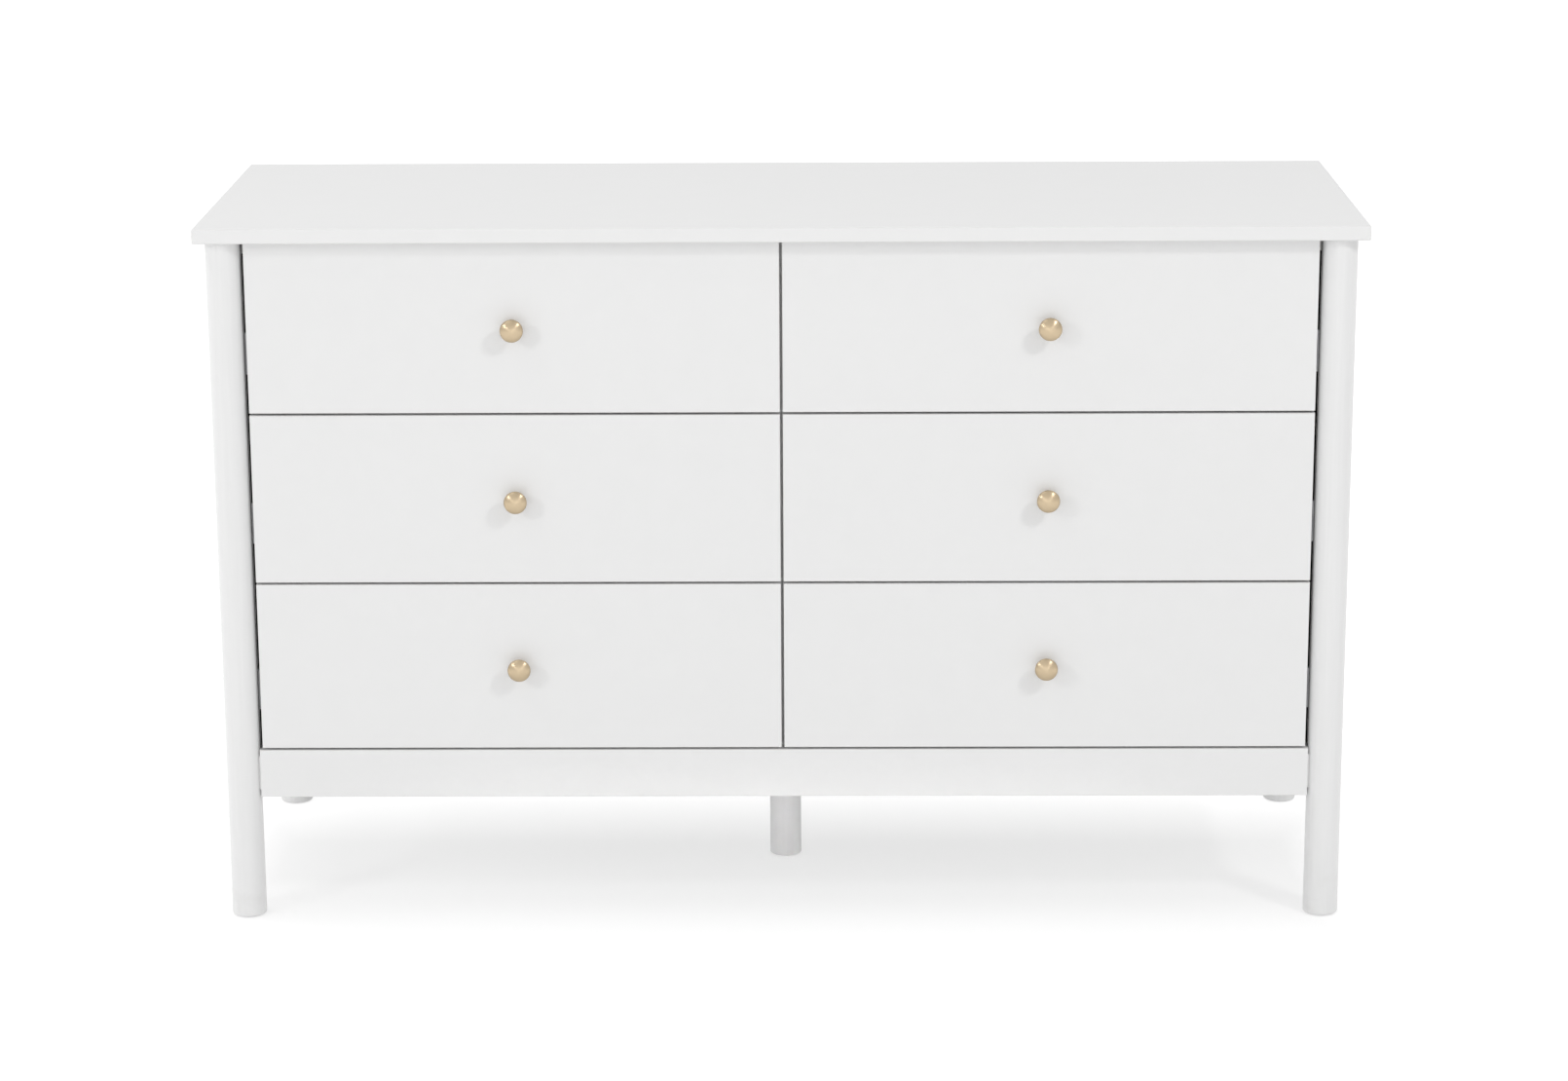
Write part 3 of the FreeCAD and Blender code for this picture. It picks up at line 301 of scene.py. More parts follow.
def edge_rub():
    """Mask of a board's arrises, from the place within its box and the box's size."""
    tree, given, result = shader_group(
        "edge_rub",
        [("Size", "Vector", (1, 1, 1)), ("Width", "Float", 0.0015)],
        [("Mask", "Float")])
    where = node(tree, "TexCoord").outputs["Generated"]
    centred = node(tree, "VectorMath", {0: where, 1: (0.5, 0.5, 0.5)},
                   operation="SUBTRACT").outputs[0]
    off = node(tree, "VectorMath", {0: centred}, operation="ABSOLUTE").outputs[0]
    inset = node(tree, "VectorMath", {0: (0.5, 0.5, 0.5), 1: off}, operation="SUBTRACT").outputs[0]
    metres = node(tree, "VectorMath", {0: inset, 1: given.outputs["Size"]},
                  operation="MULTIPLY").outputs[0]
    parts = node(tree, "SeparateXYZ", {0: metres})
    x, y, z = (parts.outputs[k] for k in "XYZ")
    second = maths(tree, "MAXIMUM", maths(tree, "MINIMUM", x, y),
                   maths(tree, "MINIMUM", maths(tree, "MAXIMUM", x, y), z))
    near = maths(tree, "DIVIDE", second, given.outputs["Width"])
    rim = spread(tree, near, 0.2, 1.0, 1.0, 0.0)
    place = object_place(tree)
    patchy = noise(tree, place, 45.0, 5.0)
    worn = maths(tree, "MULTIPLY", rim, spread(tree, patchy, 0.42, 0.68, LEAST_WEAR, 1.0))
    tree.links.new(worn, result.inputs["Mask"])
    return tree


RUB = edge_rub()
CORE = (0.74, 0.70, 0.64, 1)          # fibreboard under the film


def rubbed_board(node_name, amount=0.35):
    """The film is thinner on the arrises of this board and lets a little of the core through; a
    side panel also gets the painted shade of the slit.
    """
    low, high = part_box(node_name)
    size = high - low

    def extra(tree, colour, rough, height):
        rub = node(tree, "Group", node_tree=RUB)
        rub.inputs["Size"].default_value = size
        mask = maths(tree, "MULTIPLY", rub.outputs["Mask"], amount)
        colour = blended(tree, mask, colour, CORE)
        rough = maths(tree, "ADD", rough, maths(tree, "MULTIPLY", mask, 0.3))
        # painted shade: a side panel's inner face is painted near-black at its front, in the slit
        # beside the drawer fronts
        if node_name.endswith("side_panel"):
            inner = min(abs(low.x), abs(high.x))
            colour, rough = with_slit_shade(tree, colour, rough, inner + FACE_BAND, low.y - FACE_LEAD)
        return colour, rough, height

    return extra


BOARD_FIBRE = {"Fibre": 0.15, "Fibre Scale": (30, 30, 30)}
for board in ("left_side_panel", "right_side_panel", "centre_partition", "bottom_panel",
              "front_top_rail", "rear_rails"):
    lacquer = finished(f"{board}_lacquer", FILM,
                       {"Colour": (0.835, 0.835, 0.832, 1), "Roughness": 0.42, **BOARD_FIBRE},
                       tree_extra=rubbed_board(board))
    dressed([board], lacquer)

# ---------------------------------------------------------------- front apron
# One lacquered board between the front posts, tenoned into them, in one plane with the drawer
# fronts. It closes the front below the lowest drawers.

apron_lacquer = finished("apron_lacquer", FILM,
                         {"Colour": WHITE, "Roughness": 0.36, **BOARD_FIBRE},
                         tree_extra=rubbed_board("front_apron"))
dressed(["front_apron"], apron_lacquer)

# ---------------------------------------------------------------- top
# A plain lacquered board with every edge eased. It lies on the posts and panels, overhangs
# them all round, and is pulled down by cams.

top_lacquer = finished("top_lacquer", FILM,
                       {"Colour": WHITE, "Clouding": 0.008, "Roughness": 0.34, **BOARD_FIBRE},
                       tree_extra=rubbed_board("top_panel", 0.25))
dressed(["top_panel"], top_lacquer)

# ---------------------------------------------------------------- back panels
# Two sheets of thin fibreboard with a white printed face, pinned to the rear rails and to the
# edge of the partition, where they meet.

STREAK_SHADE, GRAIN_SHADE = 0.06, 0.05
GRAIN_ROUGHNESS = 0.12
GRAIN_RISE = 0.00004


def printed_sheet():
    """Pressed sheet under a thin print: fine pressed grain and faint long streaks."""
    tree, given, result = shader_group(
        "printed_sheet",
        [("Colour", "Color", (0.8, 0.8, 0.8, 1)), ("Roughness", "Float", 0.5)],
        [("Colour", "Color"), ("Roughness", "Float"), ("Height", "Float")])
    place = object_place(tree)
    fine = noise(tree, place, 900.0, 3.0)
    long = node(tree, "VectorMath", {0: place, 1: (14, 14, 1.5)}, operation="MULTIPLY").outputs[0]
    streak = noise(tree, long, 1.0, 6.0)
    shade = about(tree, streak, STREAK_SHADE, 1.0)
    shade = about(tree, fine, GRAIN_SHADE, shade)
    tree.links.new(tinted(tree, given.outputs["Colour"], shade), result.inputs["Colour"])
    tree.links.new(maths(tree, "MULTIPLY_ADD", fine, GRAIN_ROUGHNESS, given.outputs["Roughness"]),
                   result.inputs["Roughness"])
    tree.links.new(maths(tree, "MULTIPLY", fine, GRAIN_RISE), result.inputs["Height"])
    return tree


SHEET = printed_sheet()
back_sheet = finished("back_sheet", SHEET, {"Colour": (0.79, 0.79, 0.775, 1),
                                            "Roughness": 0.48}, coat=0.0)
dressed(["back_panels"], back_sheet)

# ---------------------------------------------------------------- back panel pins
# Wire pins with small domed heads hold the sheets: a row on each rear rail and one up each
# side of the seam, into the edge of the partition.

MM = 0.001
RECESS_TAPER = 0.6        # floor of a cross recess to its mouth


def facing(place, way):
    """Matrix that puts a shape's own +Z along way."""
    return Matrix.Translation(place) @ Vector(way).to_track_quat("Z", "Y").to_matrix().to_4x4()


def cross_recess(shape, rim, height, arm, width, depth):
    """Close a rim with a flat that has a cross-shaped recess in its middle."""
    half = width / 2
    corners = [(half, arm), (-half, arm), (-half, half), (-arm, half), (-arm, -half),
               (-half, -half), (-half, -arm), (half, -arm), (half, -half), (arm, -half),
               (arm, half), (half, half)]
    mouth = [shape.verts.new((x * MM, y * MM, height * MM)) for x, y in corners]
    floor = [shape.verts.new((RECESS_TAPER * x * MM, RECESS_TAPER * y * MM,
                              (height - depth) * MM)) for x, y in corners]
    edges = [shape.edges.get(pair) for pair in zip(rim, rim[1:] + rim[:1])]
    for k, point in enumerate(mouth):
        after = (k + 1) % len(mouth)
        edges.append(shape.edges.new((point, mouth[after])))
        shape.faces.new((point, mouth[after], floor[after], floor[k]))
    shape.faces.new(floor)
    bmesh.ops.triangle_fill(shape, use_beauty=True, edges=edges)


def turned(profile, segments=32, recess=None):
    """Shape turned about its own Z axis from (radius, height) in millimetres, top first; a
    profile that starts away from the axis is closed by a flat with a cross recess."""
    shape = bmesh.new()
    rings = []
    for radius, height in profile:
        count = segments if radius else 1
        turns = [2 * math.pi * k / segments for k in range(count)]
        rings.append([shape.verts.new((radius * MM * math.cos(t), radius * MM * math.sin(t),
                                       height * MM)) for t in turns])
    for a, b in zip(rings, rings[1:]):
        for k in range(segments):
            m = (k + 1) % segments
            if len(a) == 1:
                shape.faces.new((a[0], b[k], b[m]))
            elif len(b) == 1:
                shape.faces.new((a[k], b[0], a[m]))
            else:
                shape.faces.new((a[k], b[k], b[m], a[m]))
    if recess:
        cross_recess(shape, rings[0], profile[0][1], *recess)
    bmesh.ops.recalc_face_normals(shape, faces=shape.faces)
    return shape


def mesh_from(name, shape, material, sharp=40):
    """Smooth mesh with sharp edges where its faces turn by more degrees than that."""
    mesh = bpy.data.meshes.new(name)
    shape.to_mesh(mesh)
    mesh.shade_smooth()
    mesh.set_sharp_from_angle(angle=math.radians(sharp))
    mesh.materials.append(material)
    return mesh


def placed(name, mesh, body, replaced=(), at=Matrix.Identity(4)):
    """Object for a new piece, put in place and riding on its body."""
    piece = bpy.data.objects.new(name, mesh)
    bpy.context.scene.collection.objects.link(piece)
    piece.matrix_world = at
    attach(piece, body)
    if replaced:
        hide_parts(*replaced)


def set_of(name, shape, places, material, body, replaced=()):
    """One piece that holds a copy of the shape at each place."""
    single = bpy.data.meshes.new(f"{name}_single")
    shape.to_mesh(single)
    joined = bmesh.new()
    for place in places:
        count = len(joined.verts)
        joined.from_mesh(single)
        joined.verts.ensure_lookup_table()
        bmesh.ops.transform(joined, matrix=place, verts=joined.verts[count:])
    bpy.data.meshes.remove(single)
    placed(name, mesh_from(name, joined, material), body, replaced)


LINE_SHADE, SPANGLE_SHADE, TARNISH_SHADE = 0.25, 0.08, 0.20
LINE_ROUGHNESS, TARNISH_ROUGHNESS = 0.08, 0.3
LINE_RISE = 0.00001


def plated_steel():
    """Zinc on rolled steel: lines along the strip, soft spangle and tarnish."""
    tree, given, result = shader_group(
        "plated_steel",
        [("Colour", "Color", (0.6, 0.6, 0.62, 1)), ("Roughness", "Float", 0.34),
         ("Line Scale", "Vector", (900, 6, 900))],
        [("Colour", "Color"), ("Roughness", "Float"), ("Height", "Float")])
    place = object_place(tree)
    drawn = node(tree, "VectorMath", {0: place, 1: given.outputs["Line Scale"]},
                 operation="MULTIPLY").outputs[0]
    line = noise(tree, drawn, 1.0, 4.0)
    spangle = node(tree, "TexVoronoi", {"Vector": place, "Scale": 160.0}).outputs["Color"]
    grey = node(tree, "SeparateColor", {0: spangle}).outputs[0]
    tarnish = noise(tree, place, 22.0, 5.0)
    shade = about(tree, line, LINE_SHADE, 1.0)
    shade = about(tree, grey, SPANGLE_SHADE, shade)
    shade = about(tree, tarnish, TARNISH_SHADE, shade)
    tree.links.new(tinted(tree, given.outputs["Colour"], shade), result.inputs["Colour"])
    rough = about(tree, tarnish, TARNISH_ROUGHNESS, given.outputs["Roughness"])
    rough = maths(tree, "MULTIPLY_ADD", line, LINE_ROUGHNESS, rough)
    tree.links.new(rough, result.inputs["Roughness"])
    tree.links.new(maths(tree, "MULTIPLY", line, LINE_RISE), result.inputs["Height"])
    return tree


STEEL = plated_steel()
fitting_zinc = finished("fitting_zinc", STEEL,
                        {"Colour": (0.46, 0.46, 0.48, 1), "Roughness": 0.42,
                         "Line Scale": (300, 300, 300)}, coat=0.0, metal=1.0)

PIN = [(0.0, 0.5), (0.9, 0.42), (1.4, 0.15), (1.5, 0.0), (1.5, -0.2), (0.7, -0.4), (0.0, -0.4)]
PIN_EDGE = 0.009          # pins to the edge of the sheet
PIN_STEP = 0.105          # least distance between the pins of a row
PIN_SEAM = 0.005          # pins to the seam over the partition
SEAM_STEPS = 6            # from the lower row to the upper one, up the seam
PLATE_HALF = 0.015        # half the width of a tip-restraint plate
PLATE_CLEAR = 0.022       # no pin this near the middle of a plate
panel_low, panel_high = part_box("back_panels")
plate_low, plate_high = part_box("tip_restraint_plates")
plate_x = plate_high.x - PLATE_HALF
pins = []
count = int((panel_high.x - PIN_SEAM) / PIN_STEP)
for side in (-1, 1):
    for k in range(count + 1):
        x = side * (PIN_SEAM + k * (panel_high.x - PIN_EDGE - PIN_SEAM) / count)
        for z in (panel_low.z + PIN_EDGE, panel_high.z - PIN_EDGE):
            if z < plate_low.z or abs(abs(x) - plate_x) > PLATE_CLEAR:
                pins.append(facing((x, panel_high.y, z), (0, 1, 0)))
    rise = (panel_high.z - panel_low.z - 2 * PIN_EDGE) / SEAM_STEPS
    pins += [facing((side * PIN_SEAM, panel_high.y, panel_low.z + PIN_EDGE + k * rise), (0, 1, 0))
             for k in range(1, SEAM_STEPS)]
set_of("back_pins", turned(PIN, 16), pins, fitting_zinc, "carcass")

# ---------------------------------------------------------------- sealing beads
# A thin bead of white sealant, run by hand in each rear corner between the two rails, closes
# the chink between a back panel and the round leg.

sealant = finished("sealant", SHEET, {"Colour": (0.77, 0.77, 0.755, 1), "Roughness": 0.5},
                   coat=0.0)
BEAD_RADIUS, BEAD_SWELL = 1.6, 0.12   # millimetres, as in every turned profile
BEAD_STEP = 12.0          # from one ring of the bead to the next
BEAD_TURN = 1.7           # radians of swell to a ring, so that the swells don't repeat
BEAD_OUT, BEAD_IN = 0.0003, 0.0014    # bead's axis past the leg's flank, and before the panel
apron_low, apron_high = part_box("front_apron")
rail_width = apron_high.z - apron_low.z       # the rear rails are as wide as the apron
leg_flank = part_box("rear_right_leg")[0].x
bead_length = (panel_high.z - panel_low.z - 2 * rail_width) / MM
rings = int(bead_length / BEAD_STEP)
bead = [(0.0, bead_length)]
for k in range(rings, -1, -1):
    bead.append((BEAD_RADIUS + BEAD_SWELL * math.sin(BEAD_TURN * k), bead_length * k / rings))
bead.append((0.0, 0.0))
set_of("sealing_beads", turned(bead, 16),
       [facing((side * (leg_flank + BEAD_OUT), panel_low.y - BEAD_IN, panel_low.z + rail_width),
               (0, 0, 1)) for side in (-1, 1)], sealant, "carcass")

# ---------------------------------------------------------------- glides
# A white nylon disc under each leg keeps it off the floor. A nail through its middle holds it,
# with the head sunk in the disc.

nylon = finished("glide_nylon", SHEET, {"Colour": (0.74, 0.74, 0.72, 1), "Roughness": 0.4},
                 coat=0.0)
GLIDE = [(0.0, 1.5), (11.7, 1.5), (12.0, 1.2), (12.0, 0.7), (11.8, 0.3), (11.3, 0.0),
         (3.7, 0.0), (3.2, 0.5), (0.0, 0.5)]
NAIL = [(0.0, 15.5), (1.15, 13.4), (1.15, 0.5), (2.8, 0.45), (2.7, 0.25), (1.6, 0.1), (0.0, 0.06)]


def parts_of(node_name):
    """Lowest and highest corner of every separate solid of a CAD node."""
    shape = bmesh.new()
    shape.from_mesh(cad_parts[node_name].data)
    bmesh.ops.remove_doubles(shape, verts=shape.verts, dist=1e-6)
    seen, found = set(), []
    for start in shape.verts:
        if start in seen:
            continue
        seen.add(start)
        reached = [start]
        for vert in reached:
            for edge in vert.link_edges:
                near = edge.other_vert(vert)
                if near not in seen:
                    seen.add(near)
                    reached.append(near)
        found.append((Vector([min(v.co[i] for v in reached) for i in range(3)]),
                      Vector([max(v.co[i] for v in reached) for i in range(3)])))
    shape.free()
    return found


feet = [facing(((low.x + high.x) / 2, (low.y + high.y) / 2, low.z), (0, 0, 1))
        for low, high in parts_of("foot_glides")]
set_of("glide_discs", turned(GLIDE, 48), feet, nylon, "carcass", ["foot_glides"])
set_of("glide_nails", turned(NAIL, 20), feet, fitting_zinc, "carcass",
       ["foot_glides"])

# ---------------------------------------------------------------- drawer slides
# Full-extension slides in three members of rolled and folded steel, zinc plated. The fixed
# member is screwed to the cabinet, the inner one to the drawer, and the middle one runs
# between them.

slide_steel = finished("slide_steel", STEEL, {"Colour": (0.50, 0.51, 0.53, 1),
                                              "Roughness": 0.38}, coat=0.0, metal=1.0)
dressed(["cabinet_runners"], slide_steel)

SLIDE_SHEET = 0.0012      # thickness of the strip
WALL_SCREWS = (0.037, 0.133, 0.229, 0.325)    # from the front end of the fixed member
DRAWER_SCREWS = (0.045, 0.190, 0.318)         # and of the drawer's member
COUNTERSUNK = [(2.2, 0.3), (3.1, 0.2), (3.5, 0.0), (3.4, -0.2), (1.9, -1.1), (0.0, -1.1)]
PAN_HEAD = [(2.1, 1.7), (2.8, 1.5), (3.3, 1.0), (3.5, 0.4), (3.5, -0.1), (1.7, -0.2),
            (1.7, -3.0), (0.0, -3.0)]


def from_wall(low, high):
    """Which way along X a slide's strip lies from its wall: partition or side panel."""
    middle = (low.x + high.x) / 2
    return math.copysign(1, middle) * (1 if abs(middle) < cad_high.x / 2 else -1)


def slide_screws(node_name, distances, on_wall):
    """Places of the screws along the strips of a slide member, with their heads outward."""
    places = []
    for low, high in parts_of(node_name):
        way = from_wall(low, high)
        near, far = (low.x, high.x) if way > 0 else (high.x, low.x)
        x = near + way * SLIDE_SHEET if on_wall else far - way * SLIDE_SHEET
        for distance in distances:
            places.append(facing((x, low.y + distance, (low.z + high.z) / 2),
                                 (way if on_wall else -way, 0, 0)))
    return places


set_of("slide_wall_screws", turned(COUNTERSUNK, 24, recess=(1.7, 0.8, 0.7)),
       slide_screws("cabinet_runners", WALL_SCREWS, on_wall=True),
       fitting_zinc, "carcass")

RIB = [(0.0, 0.25), (1.5, 0.25), (2.2, 0.12), (2.5, -0.1), (0.0, -0.1)]
RIB_LEVEL = 0.0095        # ribs above and below the slide's axis
RIB_END = 0.02            # ends of a slide to its ribs


def ribbed_web(node_name, body):
    """Two shallow ribs pressed along the web of each middle member, towards its wall."""
    strips = parts_of(node_name)
    length = strips[0][1].y - strips[0][0].y - 2 * RIB_END
    shape = turned(RIB, 24)
    for vert in shape.verts:
        if vert.co.x > 1e-6:
            vert.co.x += length
    places = []
    for low, high in strips:
        way = -from_wall(low, high)
        x, y = (high.x, low.y + RIB_END) if way > 0 else (low.x, high.y - RIB_END)
        for level in (-RIB_LEVEL, RIB_LEVEL):
            places.append(facing((x, y, (low.z + high.z) / 2 + level), (way, 0, 0)))
    set_of(f"{node_name}_ribs", shape, places, slide_steel, body)


# ---------------------------------------------------------------- joint fittings
# Die-cast cam locks in blind bores turn and draw in steel bolts screwed into the next board.
# A hanger bolt holds the middle leg, and a pan-head screw each of the two flat steel plates
# on the upper rear rail that take a strap to the wall.


def thread(radius, start, end, pitch=1.1, depth=0.4):
    """Profile points of a thread, drawn as rings."""
    turns = round(abs(end - start) / pitch)
    step = (end - start) / turns
    rings = []
    for k in range(turns):
        rings += [(radius - depth, start + step * k), (radius, start + step * (k + 0.5))]
    return rings


CAM = [(6.2, -0.1), (6.4, 0.0), (7.1, 0.0), (7.45, -0.4), (7.45, -3.6), (6.3, -4.0),
       (6.3, -8.6), (7.45, -9.0), (7.45, -12.1), (7.1, -12.5), (0.0, -12.5)]
CAM_BOLT = [(0.0, 0.0), (2.8, 0.0), (3.45, 0.6), (3.45, 25.7), (2.9, 26.5),
            *thread(2.5, 26.5, 36.4), (1.4, 37.5), (0.0, 37.5)]
HANGER = [(0.0, 42.0), (2.8, 42.0), *thread(3.95, 41.4, 30.6, 1.25), (3.5, 30.0), (3.5, 25.0),
          *thread(3.95, 25.0, 3.0, 2.6, 0.9), (1.2, 0.6), (0.0, 0.0)]
PLATE_SCREW = [(2.4, 2.4), (3.0, 2.2), (3.5, 1.6), (3.74, 0.8), (3.74, 0.0), (1.9, 0.0),
               (1.9, -3.0), *thread(2.0, -3.0, -16.4, 1.5, 0.5), (0.6, -17.6), (0.0, -18.0)]

CAM_SIZE = 0.0155         # a cam lock is no longer than this in any direction
PLATE_SCREW_LENGTH = 0.0204
HANGER_LENGTH = 0.041     # only the hanger bolt stands taller
NEARLY = 0.0002
PLATE_HEAD = 0.0024       # head of a plate screw, proud of the plate
PARTITION_ZONE = 0.1      # cams nearer to the middle than this are the partition's

cams, bolts, hangers, plate_screws = [], [], [], []
for low, high in parts_of("joint_fittings"):
    size, middle = high - low, (low + high) / 2
    if max(size) < CAM_SIZE:          # its bore opens downwards or into the case
        thin = min(range(3), key=lambda i: size[i])
        if thin == 2:
            inward = -1
        else:
            inward = -math.copysign(1, middle.x) if abs(middle.x) > PARTITION_ZONE else 1
        way = Vector([inward if i == thin else 0 for i in range(3)])
        cams.append((middle, facing(middle + way * size[thin] / 2, way)))
    elif abs(size.y - PLATE_SCREW_LENGTH) < NEARLY:
        plate_screws.append(facing((middle.x, high.y - PLATE_HEAD, middle.z), (0, 1, 0)))
    elif size.z > HANGER_LENGTH:
        hangers.append(facing((middle.x, middle.y, low.z), (0, 0, 1)))
    else:
        bolts.append((middle, size))
bolt_places = []
for middle, size in bolts:
    cam = min((place for place, _ in cams), key=lambda place: (place - middle).length)
    length = max(range(3), key=lambda i: size[i])
    way = Vector([math.copysign(1, middle[i] - cam[i]) if i == length else 0 for i in range(3)])
    bolt_places.append(facing(middle - way * size[length] / 2, way))

for name, shape, places in (
        ("cam_locks", turned(CAM, 40, recess=(4.4, 2.0, 2.6)), [place for _, place in cams]),
        ("cam_bolts", turned(CAM_BOLT, 20), bolt_places),
        ("hanger_bolt", turned(HANGER, 24), hangers),
        ("plate_screws", turned(PLATE_SCREW, 28, recess=(1.9, 0.85, 1.4)), plate_screws)):
    set_of(name, shape, places, fitting_zinc, "carcass", ["joint_fittings"])

plate_steel = finished("plate_steel", STEEL,
                       {"Colour": (0.47, 0.48, 0.50, 1), "Roughness": 0.42,
                        "Line Scale": (900, 900, 8)}, coat=0.0, metal=1.0)
dressed(["tip_restraint_plates"], plate_steel)

# ---------------------------------------------------------------- drawers
# Each drawer is a foil-covered box behind a lacquered front: two grooved sides, a back, and a
# thin bottom slid in from behind. Two soft bumpers behind the front meet the partition.

front_lacquer = finished("front_lacquer", FILM,
                         {"Colour": WHITE, "Clouding": 0.008, "Roughness": 0.35, **BOARD_FIBRE},
                         tree_extra=rubbed_board("drawer_top_left_front"))
box_foil = finished("box_foil", SHEET, {"Colour": (0.81, 0.81, 0.795, 1), "Roughness": 0.45},
                    coat=0.0)
bumper_felt = finished("bumper_felt", SHEET, {"Colour": (0.70, 0.70, 0.69, 1),
                                              "Roughness": 0.85}, coat=0.0)
BUMPER = [(0.0, 1.3), (2.3, 1.25), (2.8, 1.0), (2.9, 0.5), (2.9, -0.1), (0.0, -0.1)]
BUMPER_INSET = 0.0034     # middle of a bumper to the edge of the front beside the partition
BUMPER_END = 0.02         # and to the front's top or bottom edge
DRAWERS = [f"drawer_{row}_{side}" for row in ("top", "middle", "bottom")
           for side in ("left", "right")]
for drawer in DRAWERS:
    dressed([f"{drawer}_front"], front_lacquer)
    dressed([f"{drawer}_sides", f"{drawer}_back"], box_foil)
    dressed([f"{drawer}_bottom"], back_sheet)
    dressed([f"{drawer}_runners", f"{drawer}_mid_runners"], slide_steel)
    set_of(f"{drawer}_slide_screws", turned(PAN_HEAD, 24, recess=(1.6, 0.75, 1.0)),
           slide_screws(f"{drawer}_runners", DRAWER_SCREWS, on_wall=False),
           fitting_zinc, drawer)
    ribbed_web(f"{drawer}_mid_runners", f"{drawer}_slide_middle")
    low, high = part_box(f"{drawer}_front")
    edge = low.x if low.x > 0 else high.x
    x = edge + math.copysign(BUMPER_INSET, edge)
    set_of(f"{drawer}_bumpers", turned(BUMPER, 24),
           [facing((x, high.y, z), (0, 1, 0)) for z in (low.z + BUMPER_END, high.z - BUMPER_END)],
           bumper_felt, drawer)

# ---------------------------------------------------------------- knobs
# Turned brass mushrooms with a fine brushed, pale gold finish. A machine screw from inside the
# drawer holds each.

KNOB_PROFILE = [  # radius and distance from the drawer front, in millimetres
    (0.0, 22.0), (1.6, 21.94), (3.2, 21.76), (4.8, 21.45), (6.4, 21.02), (7.9, 20.49),
    (9.3, 19.84), (10.4, 19.2), (11.3, 18.55), (11.95, 17.85), (12.35, 17.05), (12.5, 16.3),
    (12.45, 15.6), (12.1, 14.95), (11.4, 14.45), (10.0, 14.0), (8.0, 13.5), (6.2, 12.85),
    (5.1, 12.0), (4.65, 10.8), (4.5, 9.0), (4.5, 5.6), (4.7, 4.4), (5.4, 3.3), (6.4, 2.5),
    (7.0, 1.9), (7.0, 0.3), (6.8, 0.0), (1.9, 0.0), (1.9, 11.5), (0.0, 11.5),
]
KNOB_SCREW = [(2.6, 2.2), (3.3, 2.0), (3.8, 1.4), (3.99, 0.7), (3.99, 0.0), (1.85, 0.0),
              (1.85, -14.0), *thread(1.85, -14.0, -26.3, 0.8, 0.3), (1.3, -27.0), (0.0, -27.0)]


RINGS_OUT, RINGS_ALONG = 7000.0, 5000.0       # tool marks to a metre, across and along the knob
RING_SHADE, CLOUD_SHADE, RING_CLOUD_ROUGHNESS = 0.16, 0.10, 0.12
RING_RISE = 0.000012


def brushed_turning():
    """Rings left by the tool about the knob's axis, under a thin warm lacquer."""
    tree, given, result = shader_group(
        "brushed_turning",
        [("Colour", "Color", (0.8, 0.65, 0.42, 1)), ("Roughness", "Float", 0.3)],
        [("Colour", "Color"), ("Roughness", "Float"), ("Height", "Float")])
    place = object_place(tree)
    parts = node(tree, "SeparateXYZ", {0: place})
    flat = node(tree, "CombineXYZ", {"X": parts.outputs["X"], "Y": parts.outputs["Y"]}).outputs[0]
    radius = node(tree, "VectorMath", {0: flat}, operation="LENGTH").outputs["Value"]
    ring_at = node(tree, "CombineXYZ",
                   {"X": maths(tree, "MULTIPLY", radius, RINGS_OUT),
                    "Y": maths(tree, "MULTIPLY", parts.outputs["Z"], RINGS_ALONG)})
    ring = noise(tree, ring_at.outputs[0], 1.0, 3.0)
    cloud = noise(tree, place, 150.0, 4.0)
    shade = about(tree, ring, RING_SHADE, 1.0)
    shade = about(tree, cloud, CLOUD_SHADE, shade)
    tree.links.new(tinted(tree, given.outputs["Colour"], shade), result.inputs["Colour"])
    rough = about(tree, cloud, RING_CLOUD_ROUGHNESS, given.outputs["Roughness"])
    tree.links.new(rough, result.inputs["Roughness"])
    tree.links.new(maths(tree, "MULTIPLY", ring, RING_RISE), result.inputs["Height"])
    return tree


knob_brass = finished("knob_brass", brushed_turning(),
                      {"Colour": (0.505, 0.405, 0.275, 1), "Roughness": 0.34},
                      coat=0.0, metal=1.0)
tree = knob_brass.node_tree
shader = tree.nodes["Principled BSDF"]
shader.inputs["Anisotropic"].default_value = 0.75
shader.inputs["Anisotropic Rotation"].default_value = 0.25
around = node(tree, "Tangent", direction_type="RADIAL", axis="Z")
tree.links.new(around.outputs[0], shader.inputs["Tangent"])
knob_mesh = mesh_from("knob", turned(KNOB_PROFILE, 96), knob_brass, sharp=60)
screw_mesh = mesh_from("knob_screw", turned(KNOB_SCREW, 28, recess=(2.1, 0.9, 1.3)), fitting_zinc)
HEAD_RISE = 0.0022        # knob screw's head, proud of the back of the drawer front
for drawer in DRAWERS:
    node_name = f"{drawer}_knob"
    low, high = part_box(node_name)
    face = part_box(f"{drawer}_front")[0].y
    x, z = (low.x + high.x) / 2, (low.z + high.z) / 2
    placed(f"{drawer}_knob_turned", knob_mesh, drawer, [node_name],
           facing((x, face, z), (0, -1, 0)))
    placed(f"{drawer}_knob_screw", screw_mesh, drawer, [node_name],
           facing((x, high.y - HEAD_RISE, z), (0, 1, 0)))
